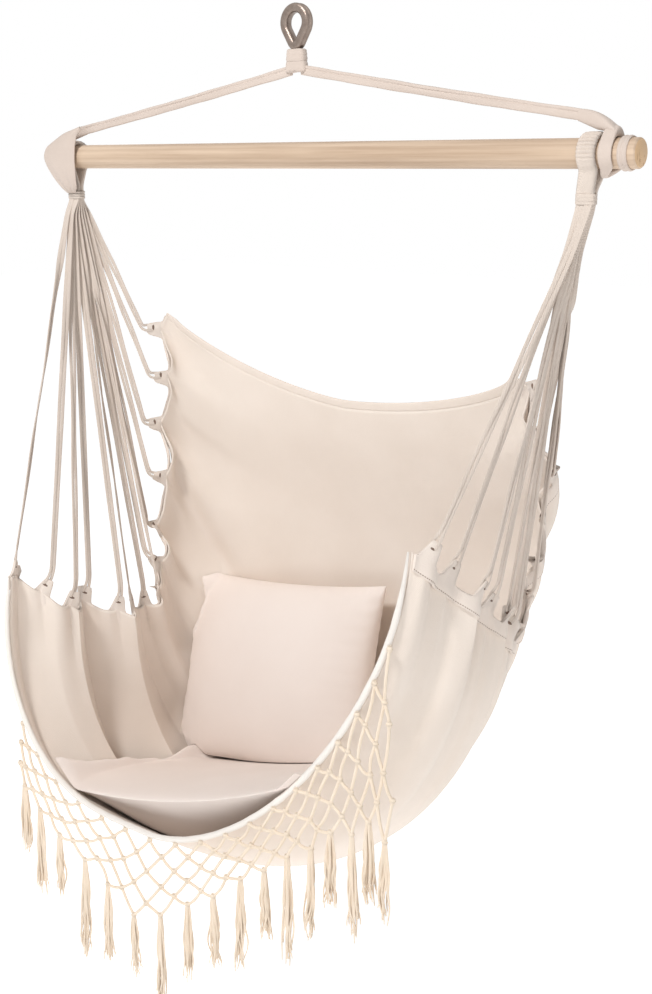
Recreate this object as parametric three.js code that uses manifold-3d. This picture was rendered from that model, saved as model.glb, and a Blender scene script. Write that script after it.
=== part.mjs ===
// A hammock chair: a canvas seat slung by cotton cords from a wooden spreader bar,
// which two webbing straps carry from a single steel hanging eye.
// Units are millimetres. The origin is the bearing point inside the top of the hanging eye.
// X runs along the spreader bar, the chair faces -Y and +Z is up.
import * as THREE from 'three';
import { mergeVertices } from 'three/addons/utils/BufferGeometryUtils.js';
import Module from 'manifold-3d';

const wasm = await Module();
wasm.setup();

// Driving dimensions
const clearance = 0.3; // gap between pieces that touch

const eyeWidth = 47; // hanging eye, outside
const eyeHeight = 57;
const eyeThickness = 11; // in the plane of the eye
const eyeDepth = 13; // across the plane of the eye
const eyeFootRadius = 7; // centre line of the narrow lower end
const eyeGrooveWidth = 5;
const eyeGrooveDepth = 3;

const bindingHeight = 14; // webbing sleeve under the eye
const bindingTopWidth = 24;
const bindingFootWidth = 20;
const bindingDepth = 13;
const gatherRadius = 9; // sewn ball where the two straps part

const barLength = 980;
const barDiameter = 34;
const barDrop = 178; // bearing point down to the bar's centre line
const barEndChamfer = 2.5;
const strapWidth = 14;
const strapThickness = 5;
const strapEndInset = 37; // sling's inner face in to the strap's end
const strapEndRise = 42; // bar centre up to the strap's end
const slingWidth = 17; // webbing loop that carries the bar, along X
const slingThickness = 3.5;
const slingRise = 30; // bar centre up to the loop's blunt top
const slingFall = 38; // bar centre down to the loop's lower seam
const slingInset = 38; // bar's end in to the sling's inner face
const shoulderGap = 1.5; // between the sling's shoulder and the cords' loop under it
const stopWidth = 11; // wrap on the bar that keeps the sling from slipping off
const stopThickness = 2.2;

const cordEyeWidth = 24; // woven loop that gathers the seat's cords over the bar
const cordEyeThickness = 6;
const cordEyeInset = 17; // sling's inner face in to the middle of the cords' loop
const cordEyeFall = 42; // bar centre down to where the loop becomes a tail
const cordEyeTail = 14;
const cordEyeTailDepth = 12;
const whippingHeight = 12;
const whippingThickness = 2.4;
const bundleHeight = 18; // where the loop's end spreads into single cords
const cordDiameter = 3.2;
const cordHeadSpan = 34; // the cords leave the bundle in two rows, front to back
const cordHeadStagger = 5; // between the two rows
const cordCount = 14; // on each side

const tapeHeight = 6; // webbing tape along each side edge of the cloth
const tapeThickness = 4;
const tapeSeam = 1; // between the tape and the cloth's cut edge
const tabWidth = 14; // where the tape stands up as a tab that holds a cord
const tabHeight = 18;
const tabShoulderShare = 0.5; // of a tab's width, its straight top

const clothHalfWidth = 350; // middle to the widest part of a side edge
const clothLength = 500; // front hem to the back, on plan
const clothDrop = 900; // bar centre down to the front hem's lowest point
const clothThickness = 4;
const leftBulgeShare = 0.09; // how far the left panel swells past its edge
const foldDepth = 7;
const foldCount = 7;
const scallopDepth = 9;
const rowsPerCord = 3;
const clothColumns = 12;
const frontHemDiameter = 10;
const backHemWidth = 14;
const backHemThickness = 6;

const netColumns = 24;
const netRows = 6;
const netDrop = 260; // the longest fall, at the right-hand end
const netStrand = 4.2; // width of a strand
const netThickness = 3;
const netFlare = 12; // how far the net's lower edge stands off
const tasselLength = 120;
const tasselDiameter = 13;
const tasselRoomShare = 0.38; // a tassel's radius at most, of the way to the next one

const seatCushionWidth = 480;
const seatCushionLength = 370;
const seatCushionCrown = 42;
const seatCushionDepth = 110; // rim down to where its underside would reach without the cloth
const seatCushionSag = 12; // its left and right ends ride up the cloth by this much
const backCushionWidth = 380;
const backCushionHeight = 340;
const backCushionThickness = 118;
const cushionDrawInShare = 0.07;
const cushionSteps = 14;
const cushionGap = 0.5; // between a cushion and the cloth or cushion that it rests on
const cushionCutReach = 98; // how far past the cloth a cushion is cut away
const seatCushionTiltAngle = 0.2; // the seat cushion's rear lies lower, in radians
const backCushionLeanAngle = 0.35; // the back cushion's top leans back
const backCushionRollAngle = 0.07; // its left side sits higher

// Places along the cloth, from the front hem (first) to the back hem (last).
// Each is X, Y and fall below the bar, as shares of the cloth's half width, length and drop.
const rightEdgeShares = [
  [0.949, -0.38, 0.482], [1.006, -0.2, 0.562], [1.02, -0.06, 0.623], [1.003, 0.04, 0.663],
  [1.06, 0.09, 0.566], [1.037, 0.1, 0.423], [0.903, 0.1, 0.3],
];
const leftEdgeShares = [
  [-0.857, -0.552, 0.627], [-0.831, -0.38, 0.692], [-0.794, -0.19, 0.73], [-0.803, -0.03, 0.743],
  [-0.849, 0.03, 0.638], [-0.869, 0.08, 0.439], [-0.889, 0.1, 0.256],
];
const middleShares = [
  [-0.171, -0.494, 1.0], [-0.14, -0.26, 1.083], [-0.1, -0.02, 1.122], [-0.05, 0.18, 1.056],
  [-0.02, 0.3, 0.878], [0, 0.32, 0.622], [0, 0.216, 0.379],
];
// Middles of the cushions, in the same shares
const seatCushionShares = [-0.095, -0.1, 0.985];
const backCushionShares = [-0.28, 0.15, 0.855];
// Squareness of each cross-section, 2 being an ellipse, at even steps from front to back
const leftSquareShares = [4, 4.2, 4, 3.4, 2.6, 2.0, 1.45];
const rightSquareShares = [1.7, 1.9, 1.85, 1.8, 1.9, 2.0, 1.45];
// Fall of the net along the front hem, left to right, as shares of the longest fall
const netFallShares = [0.3, 0.24, 0.28, 0.45, 0.32, 0.24, 0.27, 0.36, 0.55, 0.9];
const netEndShares = [0.2, 0.9]; // where the net starts and stops along the front hem
const tasselLengthShares = [0.75, 0.95, 0.66, 1.05, 0.85, 0.7, 1.0, 0.8];
// A tassel's outline: share of its length below the knot, share of its width
const tasselShares = [[0.1, 0.8], [0.18, 0.55], [0.65, 1], [1, 0.7]];

// Materials
const steel = new THREE.MeshStandardMaterial({ color: 0x8c7d73, roughness: 0.35, metalness: 0.9 });
const pine = new THREE.MeshStandardMaterial({ color: 0xd9b98f, roughness: 0.6, metalness: 0 });
const canvas = new THREE.MeshStandardMaterial({ color: 0xf0e4d8, roughness: 0.9, metalness: 0 });
const cotton = new THREE.MeshStandardMaterial({ color: 0xf1e3d0, roughness: 0.95, metalness: 0 });
const fringe = new THREE.MeshStandardMaterial({ color: 0xecd8b6, roughness: 0.95, metalness: 0 });

const chair = new THREE.Group();
const vec = (x, y, z) => new THREE.Vector3(x, y, z);
const half = (size) => size / 2;
const slingPlace = half(barLength) - slingInset; // each from the chair's middle, along the bar
const strapEndPlace = slingPlace - strapEndInset;
const cordEyePlace = slingPlace - cordEyeInset;

function addPiece(name, geometry, material) {
  const mesh = new THREE.Mesh(geometry, material);
  mesh.name = name;
  chair.add(mesh);
  return mesh;
}

// Joins closed or open loops of points into one closed surface, faces outward
function solidFromRings(rings, closedAlong = false) {
  const count = rings[0].length;
  const positions = [];
  rings.forEach((ring) => ring.forEach((point) => positions.push(point.x, point.y, point.z)));
  const index = [];
  const last = closedAlong ? rings.length : rings.length - 1;
  for (let i = 0; i < last; i += 1) {
    for (let j = 0; j < count; j += 1) {
      const a = i * count + j;
      const b = i * count + ((j + 1) % count);
      const c = ((i + 1) % rings.length) * count + ((j + 1) % count);
      const d = ((i + 1) % rings.length) * count + j;
      index.push(a, b, c, a, c, d);
    }
  }
  if (!closedAlong) {
    const foot = (rings.length - 1) * count;
    for (let j = 1; j < count - 1; j += 1) {
      index.push(0, j + 1, j);
      index.push(foot, foot + j, foot + j + 1);
    }
  }
  return outward(positions, index);
}

// Turns every face round where the surface encloses a negative volume
function outward(positions, index) {
  let volume = 0;
  const corner = (i) => vec(positions[3 * i], positions[3 * i + 1], positions[3 * i + 2]);
  for (let i = 0; i < index.length; i += 3) {
    volume += corner(index[i]).dot(corner(index[i + 1]).cross(corner(index[i + 2])));
  }
  if (volume < 0) {
    for (let i = 0; i < index.length; i += 3) {
      [index[i + 1], index[i + 2]] = [index[i + 2], index[i + 1]];
    }
  }
  const geometry = new THREE.BufferGeometry();
  geometry.setAttribute('position', new THREE.Float32BufferAttribute(positions, 3));
  geometry.setIndex(index);
  return geometry;
}

// Points of a circle or ellipse about a centre, in the plane of two unit directions
function loop(centre, across, up, acrossRadius, upRadius, sides, turn = 0) {
  return Array.from({ length: sides }, (_, i) => {
    const angle = turn + (2 * Math.PI * i) / sides;
    return centre.clone()
      .addScaledVector(across, acrossRadius * Math.cos(angle))
      .addScaledVector(up, upRadius * Math.sin(angle));
  });
}

// A prism of an outline in the YZ plane, running along X from one face
function alongX(shape, startX, length) {
  const geometry = new THREE.ExtrudeGeometry(shape, { depth: length, bevelEnabled: false });
  const yzx = new THREE.Matrix4().set(0, 0, 1, startX, 1, 0, 0, 0, 0, 1, 0, 0, 0, 0, 0, 1);
  return geometry.applyMatrix4(yzx);
}

function toManifold(geometry) {
  const bare = geometry.clone();
  bare.deleteAttribute('normal');
  bare.deleteAttribute('uv');
  const merged = mergeVertices(bare);
  return new wasm.Manifold(new wasm.Mesh({
    numProp: 3,
    vertProperties: new Float32Array(merged.attributes.position.array),
    triVerts: new Uint32Array(merged.index.array),
  }));
}

function fromManifold(solid) {
  const mesh = solid.getMesh();
  const geometry = new THREE.BufferGeometry();
  geometry.setAttribute('position', new THREE.BufferAttribute(mesh.vertProperties, 3));
  geometry.setIndex(new THREE.BufferAttribute(mesh.triVerts, 1));
  return geometry;
}

// Hanging eye: a steel teardrop with a groove round its outside
const eyeTopRadius = half(eyeWidth - eyeThickness);
const eyeTopZ = half(eyeThickness) - eyeTopRadius;
const eyeLowZ = eyeThickness - eyeHeight;
const eyeFootZ = eyeLowZ + half(eyeThickness) + eyeFootRadius;
const eyeSlant = Math.asin((eyeTopRadius - eyeFootRadius) / (eyeTopZ - eyeFootZ));
{
  const topSteps = 18;
  const footSteps = 8;
  const bevelShare = 0.35;
  const rings = [];
  const section = (angle, radius, centreZ) => {
    const out = vec(Math.cos(angle), 0, Math.sin(angle));
    const centre = vec(0, 0, centreZ).addScaledVector(out, radius);
    const bevel = half(eyeThickness) * bevelShare;
    const r = half(eyeThickness);
    const d = half(eyeDepth);
    const g = half(eyeGrooveWidth);
    const profile = [
      [r, -g], [r - eyeGrooveDepth, -half(g)], [r - eyeGrooveDepth, half(g)], [r, g],
      [r, d - bevel], [r - bevel, d], [bevel - r, d], [-r, d - bevel],
      [-r, bevel - d], [bevel - r, -d], [r - bevel, -d], [r, bevel - d],
    ];
    return profile.map(([reach, y]) => centre.clone().addScaledVector(out, reach).add(vec(0, y, 0)));
  };
  for (let i = 0; i <= topSteps; i += 1) {
    const angle = -eyeSlant + ((Math.PI + 2 * eyeSlant) * i) / topSteps;
    rings.push(section(angle, eyeTopRadius, eyeTopZ));
  }
  for (let i = 0; i <= footSteps; i += 1) {
    const angle = Math.PI + eyeSlant + ((Math.PI - 2 * eyeSlant) * i) / footSteps;
    rings.push(section(angle, eyeFootRadius, eyeFootZ));
  }
  addPiece('hanging_eye', solidFromRings(rings, true), steel);
}

// Webbing sleeve under the eye, and the sewn ball under it where the straps part
const bindingTopZ = eyeLowZ - clearance;
const bindingFootZ = bindingTopZ - bindingHeight;
const gatherZ = bindingFootZ - clearance - gatherRadius;
{
  const sides = 12;
  const across = vec(1, 0, 0);
  const deep = vec(0, 1, 0);
  const rings = [
    loop(vec(0, 0, bindingTopZ), across, deep, half(bindingTopWidth), half(bindingDepth), sides),
    loop(vec(0, 0, bindingFootZ), across, deep, half(bindingFootWidth), half(bindingDepth), sides),
  ];
  addPiece('eye_binding', solidFromRings(rings), canvas);
  const gatherSides = 14;
  const gatherBands = 10;
  const gather = new THREE.SphereGeometry(gatherRadius, gatherSides, gatherBands).rotateX(half(Math.PI));
  addPiece('strap_gather', gather.translate(0, 0, gatherZ), canvas);
}

// Spreader bar, with its webbing stop wraps
const barZ = -barDrop;
const barRadius = half(barDiameter);
const roundSides = 24;
const boreRadius = (barRadius + clearance) / Math.cos(Math.PI / roundSides);
{
  const profile = [
    new THREE.Vector2(0, -half(barLength)),
    new THREE.Vector2(barRadius - barEndChamfer, -half(barLength)),
    new THREE.Vector2(barRadius, barEndChamfer - half(barLength)),
    new THREE.Vector2(barRadius, half(barLength) - barEndChamfer),
    new THREE.Vector2(barRadius - barEndChamfer, half(barLength)),
    new THREE.Vector2(0, half(barLength)),
  ];
  const bar = new THREE.LatheGeometry(profile, roundSides).rotateZ(-half(Math.PI));
  addPiece('spreader_bar', bar.translate(0, 0, barZ), pine);
}

function circlePath(radius, sides, centreZ) {
  const path = new THREE.Path();
  for (let i = 0; i < sides; i += 1) {
    const angle = (2 * Math.PI * i) / sides;
    const point = [radius * Math.cos(angle), centreZ + radius * Math.sin(angle)];
    if (i === 0) path.moveTo(...point);
    else path.lineTo(...point);
  }
  path.closePath();
  return path;
}

// Outline round the bar in the YZ plane that runs out to a blunt end above and below,
// and below that straight down for the length of a tail
function loopOutline(outerRadius, rise, riseHalfWidth, fall, fallHalfWidth, tail = 0) {
  const shape = new THREE.Shape();
  const arcSteps = 8;
  const side = (sign) => {
    const points = [];
    const topAngle = Math.acos(outerRadius / rise);
    const footAngle = Math.acos(outerRadius / fall);
    for (let i = 0; i <= arcSteps; i += 1) {
      const angle = topAngle + ((Math.PI - footAngle - topAngle) * i) / arcSteps;
      points.push([sign * outerRadius * Math.sin(angle), barZ + outerRadius * Math.cos(angle)]);
    }
    return points;
  };
  const right = side(1);
  const left = side(-1).reverse();
  const outline = [
    [-riseHalfWidth, barZ + rise], [riseHalfWidth, barZ + rise], ...right,
    [fallHalfWidth, barZ - fall], ...(tail > 0 ? [[fallHalfWidth, barZ - fall - tail]] : []),
    ...(tail > 0 ? [[-fallHalfWidth, barZ - fall - tail]] : []), [-fallHalfWidth, barZ - fall], ...left,
  ];
  outline.forEach((point, i) => (i === 0 ? shape.moveTo(...point) : shape.lineTo(...point)));
  shape.closePath();
  shape.holes.push(circlePath(boreRadius, roundSides, barZ));
  return shape;
}

const sides = [['left', -1], ['right', 1]];
const stopPlace = slingPlace + slingWidth + clearance;
const slingOuterRadius = boreRadius + slingThickness;
const cordEyeOuterRadius = boreRadius + cordEyeThickness;
const cordEyeLowZ = barZ - cordEyeFall - cordEyeTail;
for (const [side, sign] of sides) {
  // One leg of the suspension webbing, from the gather to its sling on the bar
  const start = vec(0, 0, gatherZ);
  const end = vec(sign * strapEndPlace, 0, barZ + strapEndRise);
  const way = end.clone().sub(start).normalize();
  const upward = vec(-way.z * sign, 0, way.x * sign);
  const deep = vec(0, 1, 0);
  const cornerShare = 0.3;
  const strapRing = (centre) => {
    const w = half(strapWidth);
    const t = half(strapThickness);
    const c = t * cornerShare;
    const corners = [
      [w, c - t], [w, t - c], [w - c, t], [c - w, t], [-w, t - c], [-w, c - t], [c - w, -t], [w - c, -t],
    ];
    return corners.map(([u, d]) => centre.clone().addScaledVector(upward, u).addScaledVector(deep, d));
  };
  const head = start.clone().addScaledVector(way, gatherRadius + clearance);
  addPiece(`${side}_strap`, solidFromRings([strapRing(head), strapRing(end)]), canvas);

  // Sling round the bar, with the shoulder that the strap is sewn to
  const slingShape = loopOutline(
    slingOuterRadius, slingRise, half(strapThickness), slingFall, half(slingThickness),
  );
  const slingStart = sign > 0 ? slingPlace : -slingPlace - slingWidth;
  const shoulderRing = (x, lowZ, highZ, halfDepth) => [
    vec(sign * x, -halfDepth, lowZ), vec(sign * x, halfDepth, lowZ),
    vec(sign * x, halfDepth, highZ), vec(sign * x, -halfDepth, highZ),
  ];
  const shoulderLowZ = barZ + cordEyeOuterRadius + clearance + shoulderGap;
  const seamX = strapEndPlace + clearance + half(strapWidth) * Math.abs(upward.x);
  const shoulder = solidFromRings([
    shoulderRing(seamX, end.z - half(strapWidth), end.z + half(strapWidth), half(strapThickness)),
    shoulderRing(slingPlace, shoulderLowZ, end.z, half(slingOuterRadius)),
    shoulderRing(slingPlace + slingWidth, barZ + slingOuterRadius - slingThickness,
      barZ + slingRise, half(slingOuterRadius)),
  ]);
  const sling = toManifold(alongX(slingShape, slingStart, slingWidth)).add(toManifold(shoulder));
  addPiece(`${side}_bar_sling`, fromManifold(sling), canvas);

  const eyeShape = loopOutline(
    cordEyeOuterRadius, cordEyeOuterRadius + clearance, half(cordEyeThickness),
    cordEyeFall, half(cordEyeTailDepth), cordEyeTail,
  );
  const eyeStart = sign * cordEyePlace - half(cordEyeWidth);
  addPiece(`${side}_cord_eye`, alongX(eyeShape, eyeStart, cordEyeWidth), cotton);

  // Wrap that keeps the sling from slipping off: closed over the bar's tip on the left only
  const stopOuter = boreRadius + stopThickness;
  const wrapEnd = sign > 0 ? stopPlace + stopWidth : half(barLength) + clearance + stopThickness;
  const outside = [[stopPlace, boreRadius], [stopPlace, stopOuter], [wrapEnd, stopOuter]];
  const open = [[wrapEnd, boreRadius]];
  const closed = [[wrapEnd, 0], [wrapEnd - stopThickness, 0], [wrapEnd - stopThickness, boreRadius]];
  const profile = [...outside, ...(sign > 0 ? open : closed), [stopPlace, boreRadius]];
  const points = profile.map(([x, radius]) => new THREE.Vector2(radius, sign * x));
  const wrap = new THREE.LatheGeometry(sign > 0 ? points : points.reverse(), roundSides);
  addPiece(`${side}_stop_wrap`, wrap.rotateZ(-half(Math.PI)).translate(0, 0, barZ), canvas);
}

// The cloth as a surface: along runs 0 to 1 from front hem to back hem,
// angle runs from the left edge (-90 degrees) under the seat to the right edge (90 degrees)
const placeOf = ([x, y, z]) => vec(x * clothHalfWidth, y * clothLength, barZ - z * clothDrop);
const rightEdge = new THREE.CatmullRomCurve3(rightEdgeShares.map(placeOf));
const leftEdge = new THREE.CatmullRomCurve3(leftEdgeShares.map(placeOf));
const middle = new THREE.CatmullRomCurve3(middleShares.map(placeOf));
const clothRows = rowsPerCord * (cordCount - 1) + 2;

function smoothTable(table, along) {
  const place = THREE.MathUtils.clamp(along, 0, 1) * (table.length - 1);
  const i = Math.min(Math.floor(place), table.length - 2);
  return THREE.MathUtils.lerp(table[i], table[i + 1], THREE.MathUtils.smoothstep(place, i, i + 1));
}

function clothPoint(along, angle) {
  const inside = THREE.MathUtils.clamp(along, 0, 1);
  const edge = (angle > 0 ? rightEdge : leftEdge).getPoint(inside);
  const low = middle.getPoint(inside);
  const square = smoothTable(angle > 0 ? rightSquareShares : leftSquareShares, inside);
  const s = Math.abs(Math.sin(angle));
  const c = Math.abs(Math.cos(angle));
  const reach = (s ** square + c ** square) ** (-1 / square);
  const swell = angle > 0 ? 0 : leftBulgeShare * Math.sin(Math.PI * c * reach) * (1 - inside);
  const lateral = s * reach * (1 + swell);
  const sag = c * reach;
  return vec(
    low.x + lateral * (edge.x - low.x),
    edge.y + sag * (low.y - edge.y),
    edge.z + sag * (low.z - edge.z),
  );
}

// Unit direction out of the bowl
function clothOutward(along, angle) {
  const step = 0.004;
  const a = THREE.MathUtils.clamp(along, step, 1 - step);
  const t = THREE.MathUtils.clamp(angle, step - half(Math.PI), half(Math.PI) - step);
  const du = clothPoint(a, t + step).sub(clothPoint(a, t - step));
  const dv = clothPoint(a + step, t).sub(clothPoint(a - step, t));
  return dv.cross(du).normalize();
}

// The hung cloth: gathered folds that fade towards the middle, and an edge that dips between cords
function hungPoint(row, column) {
  const along = row / clothRows;
  const angle = (column / clothColumns - half(1)) * Math.PI;
  const edgeShare = Math.abs(Math.sin(angle));
  const foldFade = 4;
  const wave = Math.cos((2 * Math.PI * foldCount * (row - 1)) / (clothRows - 2));
  const offRow = (row - 1 + rowsPerCord * cordCount) % rowsPerCord;
  const dip = offRow === 0 ? 0 : scallopDepth * edgeShare ** (foldFade * foldFade);
  const point = clothPoint(along, angle);
  const frontFade = THREE.MathUtils.smoothstep(along, 0, 2 / clothRows);
  point.addScaledVector(clothOutward(along, angle), foldDepth * wave * frontFade * edgeShare ** foldFade);
  return point.addScaledVector(clothPoint(along, 0).sub(point).normalize(), dip);
}

const hung = Array.from({ length: clothRows + 1 }, (_, row) => (
  Array.from({ length: clothColumns + 1 }, (__, column) => hungPoint(row, column))
));
const hungOutward = hung.map((line, row) => line.map((point, column) => {
  const before = hung[Math.max(row - 1, 0)][column];
  const after = hung[Math.min(row + 1, clothRows)][column];
  const left = hung[row][Math.max(column - 1, 0)];
  const right = hung[row][Math.min(column + 1, clothColumns)];
  return after.clone().sub(before).cross(right.clone().sub(left)).normalize();
}));

// A shell between two offsets of the hung cloth, positive being out of the bowl
function clothShell(inner, outer) {
  const shift = (row, column, offset) => (
    hung[row][column].clone().addScaledVector(hungOutward[row][column], offset)
  );
  const rings = hung.map((line, row) => {
    const over = line.map((_, column) => shift(row, column, outer));
    const under = line.map((_, column) => shift(row, column, inner)).reverse();
    return [...over, ...under];
  });
  const wide = clothColumns + 1;
  const positions = [];
  rings.forEach((ring) => ring.forEach((point) => positions.push(point.x, point.y, point.z)));
  const index = [];
  const ringSize = 2 * wide;
  for (let i = 0; i < clothRows; i += 1) {
    for (let j = 0; j < ringSize; j += 1) {
      const a = i * ringSize + j;
      const b = i * ringSize + ((j + 1) % ringSize);
      index.push(a, b, b + ringSize, a, b + ringSize, a + ringSize);
    }
  }
  for (const [row, turn] of [[0, 1], [clothRows, -1]]) {
    for (let j = 0; j < clothColumns; j += 1) {
      const a = row * ringSize + j;
      const d = row * ringSize + ringSize - 1 - j;
      const quad = turn > 0 ? [a, d, d - 1, a, d - 1, a + 1] : [a, d - 1, d, a, a + 1, d - 1];
      index.push(...quad);
    }
  }
  return outward(positions, index);
}
addPiece('seat_canvas', clothShell(-half(clothThickness), half(clothThickness)), canvas);

// Hems: a rope hem on the front edge and a flat folded hem on the back edge
function hemFrames(row, inwardRow) {
  return hung[row].map((point, column) => {
    const out = point.clone().sub(hung[inwardRow][column]).normalize();
    const normal = hungOutward[row][column];
    const away = out.addScaledVector(normal, -out.dot(normal)).normalize();
    return { point, away, normal };
  });
}
const frontHemRadius = half(frontHemDiameter);
const frontHemPath = hemFrames(0, 1).map(({ point, away, normal }) => ({
  point: point.clone().addScaledVector(away, clearance + frontHemRadius), away, normal,
}));
{
  const hemSides = 8;
  const turn = Math.PI / hemSides;
  const girth = frontHemRadius / Math.cos(turn);
  const rings = frontHemPath.map(({ point, away, normal }) => (
    loop(point, away, normal, girth, girth, hemSides, turn)
  ));
  addPiece('front_hem', solidFromRings(rings), canvas);
  const backRings = hemFrames(clothRows, clothRows - 1).map(({ point, away, normal }) => {
    const near = clearance;
    const far = clearance + backHemWidth;
    const t = half(backHemThickness);
    return [[near, -t], [far, -t], [far, t], [near, t]]
      .map(([reach, lift]) => point.clone().addScaledVector(away, reach).addScaledVector(normal, lift));
  });
  addPiece('back_hem', solidFromRings(backRings), canvas);
}

// Cords, the tapes that hold them along the cloth's edges, and the bundle that they run up into
const bundleTopZ = cordEyeLowZ - clearance;
const bundleLowZ = bundleTopZ - bundleHeight;
const cordRadius = half(cordDiameter);
const tapeCutterReach = half(clothThickness) + clearance;
const tapeCutter = toManifold(clothShell(-tapeCutterReach, tapeCutterReach));
function edgeAt(row, column) {
  const i = Math.min(Math.floor(row), clothRows - 1);
  return hung[i][column].clone().lerp(hung[i + 1][column], row - i);
}
for (const [side, sign] of sides) {
  const column = sign > 0 ? clothColumns : 0;
  const tailFoot = vec(sign * cordEyePlace, 0, bundleLowZ);
  const tapeRings = [];
  const edgeFrame = (row) => {
    const foot = edgeAt(row, column);
    const ahead = edgeAt(Math.min(row + 1, clothRows), column);
    const along = ahead.sub(edgeAt(Math.max(row - 1, 0), column)).normalize();
    const outOfCloth = foot.clone().sub(edgeAt(row, column - sign)).normalize();
    const upCord = tailFoot.clone().sub(foot).normalize().add(outOfCloth);
    const upTape = upCord.addScaledVector(along, -upCord.dot(along)).normalize();
    const normal = hungOutward[Math.round(row)][column];
    const lift = tapeSeam + half(clothThickness) * Math.abs(normal.dot(upTape));
    return { base: foot.clone().addScaledVector(upTape, lift), along, upTape };
  };
  const addTapeRing = ({ base, along }, top) => {
    const face = along.clone().cross(top.clone().sub(base)).normalize();
    tapeRings.push([[base, -1], [base, 1], [top, 1], [top, -1]].map(([point, deep]) => (
      point.clone().addScaledVector(face, deep * half(tapeThickness))
    )));
  };
  const addPlainRing = (row) => {
    const frame = edgeFrame(row);
    addTapeRing(frame, frame.base.clone().addScaledVector(frame.upTape, tapeHeight));
  };
  for (let k = 0; k < cordCount; k += 1) {
    const row = 1 + rowsPerCord * k;
    const reach = half(tabWidth) / hung[row][column].distanceTo(hung[row + 1][column]);
    const { base, along, upTape } = edgeFrame(row);
    const tabTop = base.clone().addScaledVector(upTape, tabHeight);
    if (k === 0) addPlainRing(0);
    addPlainRing(row - reach);
    for (const shift of [-tabShoulderShare, 0, tabShoulderShare]) {
      const top = tabTop.clone().addScaledVector(along, half(tabWidth) * shift);
      addTapeRing(edgeFrame(row + reach * shift), top);
    }
    addPlainRing(row + reach);
    addPlainRing(row + 1);
    if (k < cordCount - 1) addPlainRing(row + 2);

    const headX = sign * half(cordHeadStagger) * (k % 2 === 0 ? 1 : -1);
    const headY = cordHeadSpan * (k / (cordCount - 1) - half(1));
    const head = tailFoot.clone().add(vec(headX, headY, 0));
    const lean = Math.sqrt(1 - head.clone().sub(tabTop).normalize().dot(upTape) ** 2);
    const low = tabTop.addScaledVector(upTape, clearance + cordRadius * lean + half(clearance));
    const route = head.clone().sub(low).normalize();
    const tilt = Math.sqrt(1 - route.z ** 2);
    const high = head.addScaledVector(route, -(clearance + cordRadius * tilt) / route.z);
    const cordSides = 8;
    const across = vec(0, 1, 0).cross(route).normalize();
    const other = route.clone().cross(across);
    const ring = (centre) => loop(centre, across, other, cordRadius, cordRadius, cordSides);
    const rings = [ring(low), ring(high)];
    addPiece(`${side}_cord_${String(k + 1).padStart(2, '0')}`, solidFromRings(rings), cotton);
  }
  const tape = toManifold(solidFromRings(tapeRings)).subtract(tapeCutter);
  addPiece(`${side}_edge_tape`, fromManifold(tape), canvas);

  // The bundle's lower face covers the cords' ends, its upper face meets the loop's lower end
  const rectangle = (halfX, halfY, z) => [
    vec(tailFoot.x - halfX, -halfY, z), vec(tailFoot.x + halfX, -halfY, z),
    vec(tailFoot.x + halfX, halfY, z), vec(tailFoot.x - halfX, halfY, z),
  ];
  const bundleMargin = cordDiameter;
  const bundle = solidFromRings([
    rectangle(half(cordEyeWidth), half(cordEyeTailDepth), bundleTopZ),
    rectangle(half(cordHeadStagger) + bundleMargin, half(cordHeadSpan) + bundleMargin, bundleLowZ),
  ]);
  addPiece(`${side}_cord_bundle`, bundle, cotton);

  // Whipping: a band round the loop's lower end
  const bandTopZ = cordEyeLowZ + whippingHeight;
  const bandHalfX = half(cordEyeWidth) + clearance;
  const bandHalfY = half(cordEyeTailDepth) + clearance;
  const bandOutline = (extra) => {
    const path = new THREE.Shape();
    const x = bandHalfX + extra;
    const y = bandHalfY + extra;
    path.moveTo(tailFoot.x - x, -y);
    path.lineTo(tailFoot.x + x, -y);
    path.lineTo(tailFoot.x + x, y);
    path.lineTo(tailFoot.x - x, y);
    path.closePath();
    return path;
  };
  const band = bandOutline(whippingThickness);
  band.holes.push(bandOutline(0));
  const bandGeometry = new THREE.ExtrudeGeometry(band, { depth: whippingHeight, bevelEnabled: false });
  addPiece(`${side}_whipping`, bandGeometry.translate(0, 0, bandTopZ - whippingHeight), cotton);
}

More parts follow.
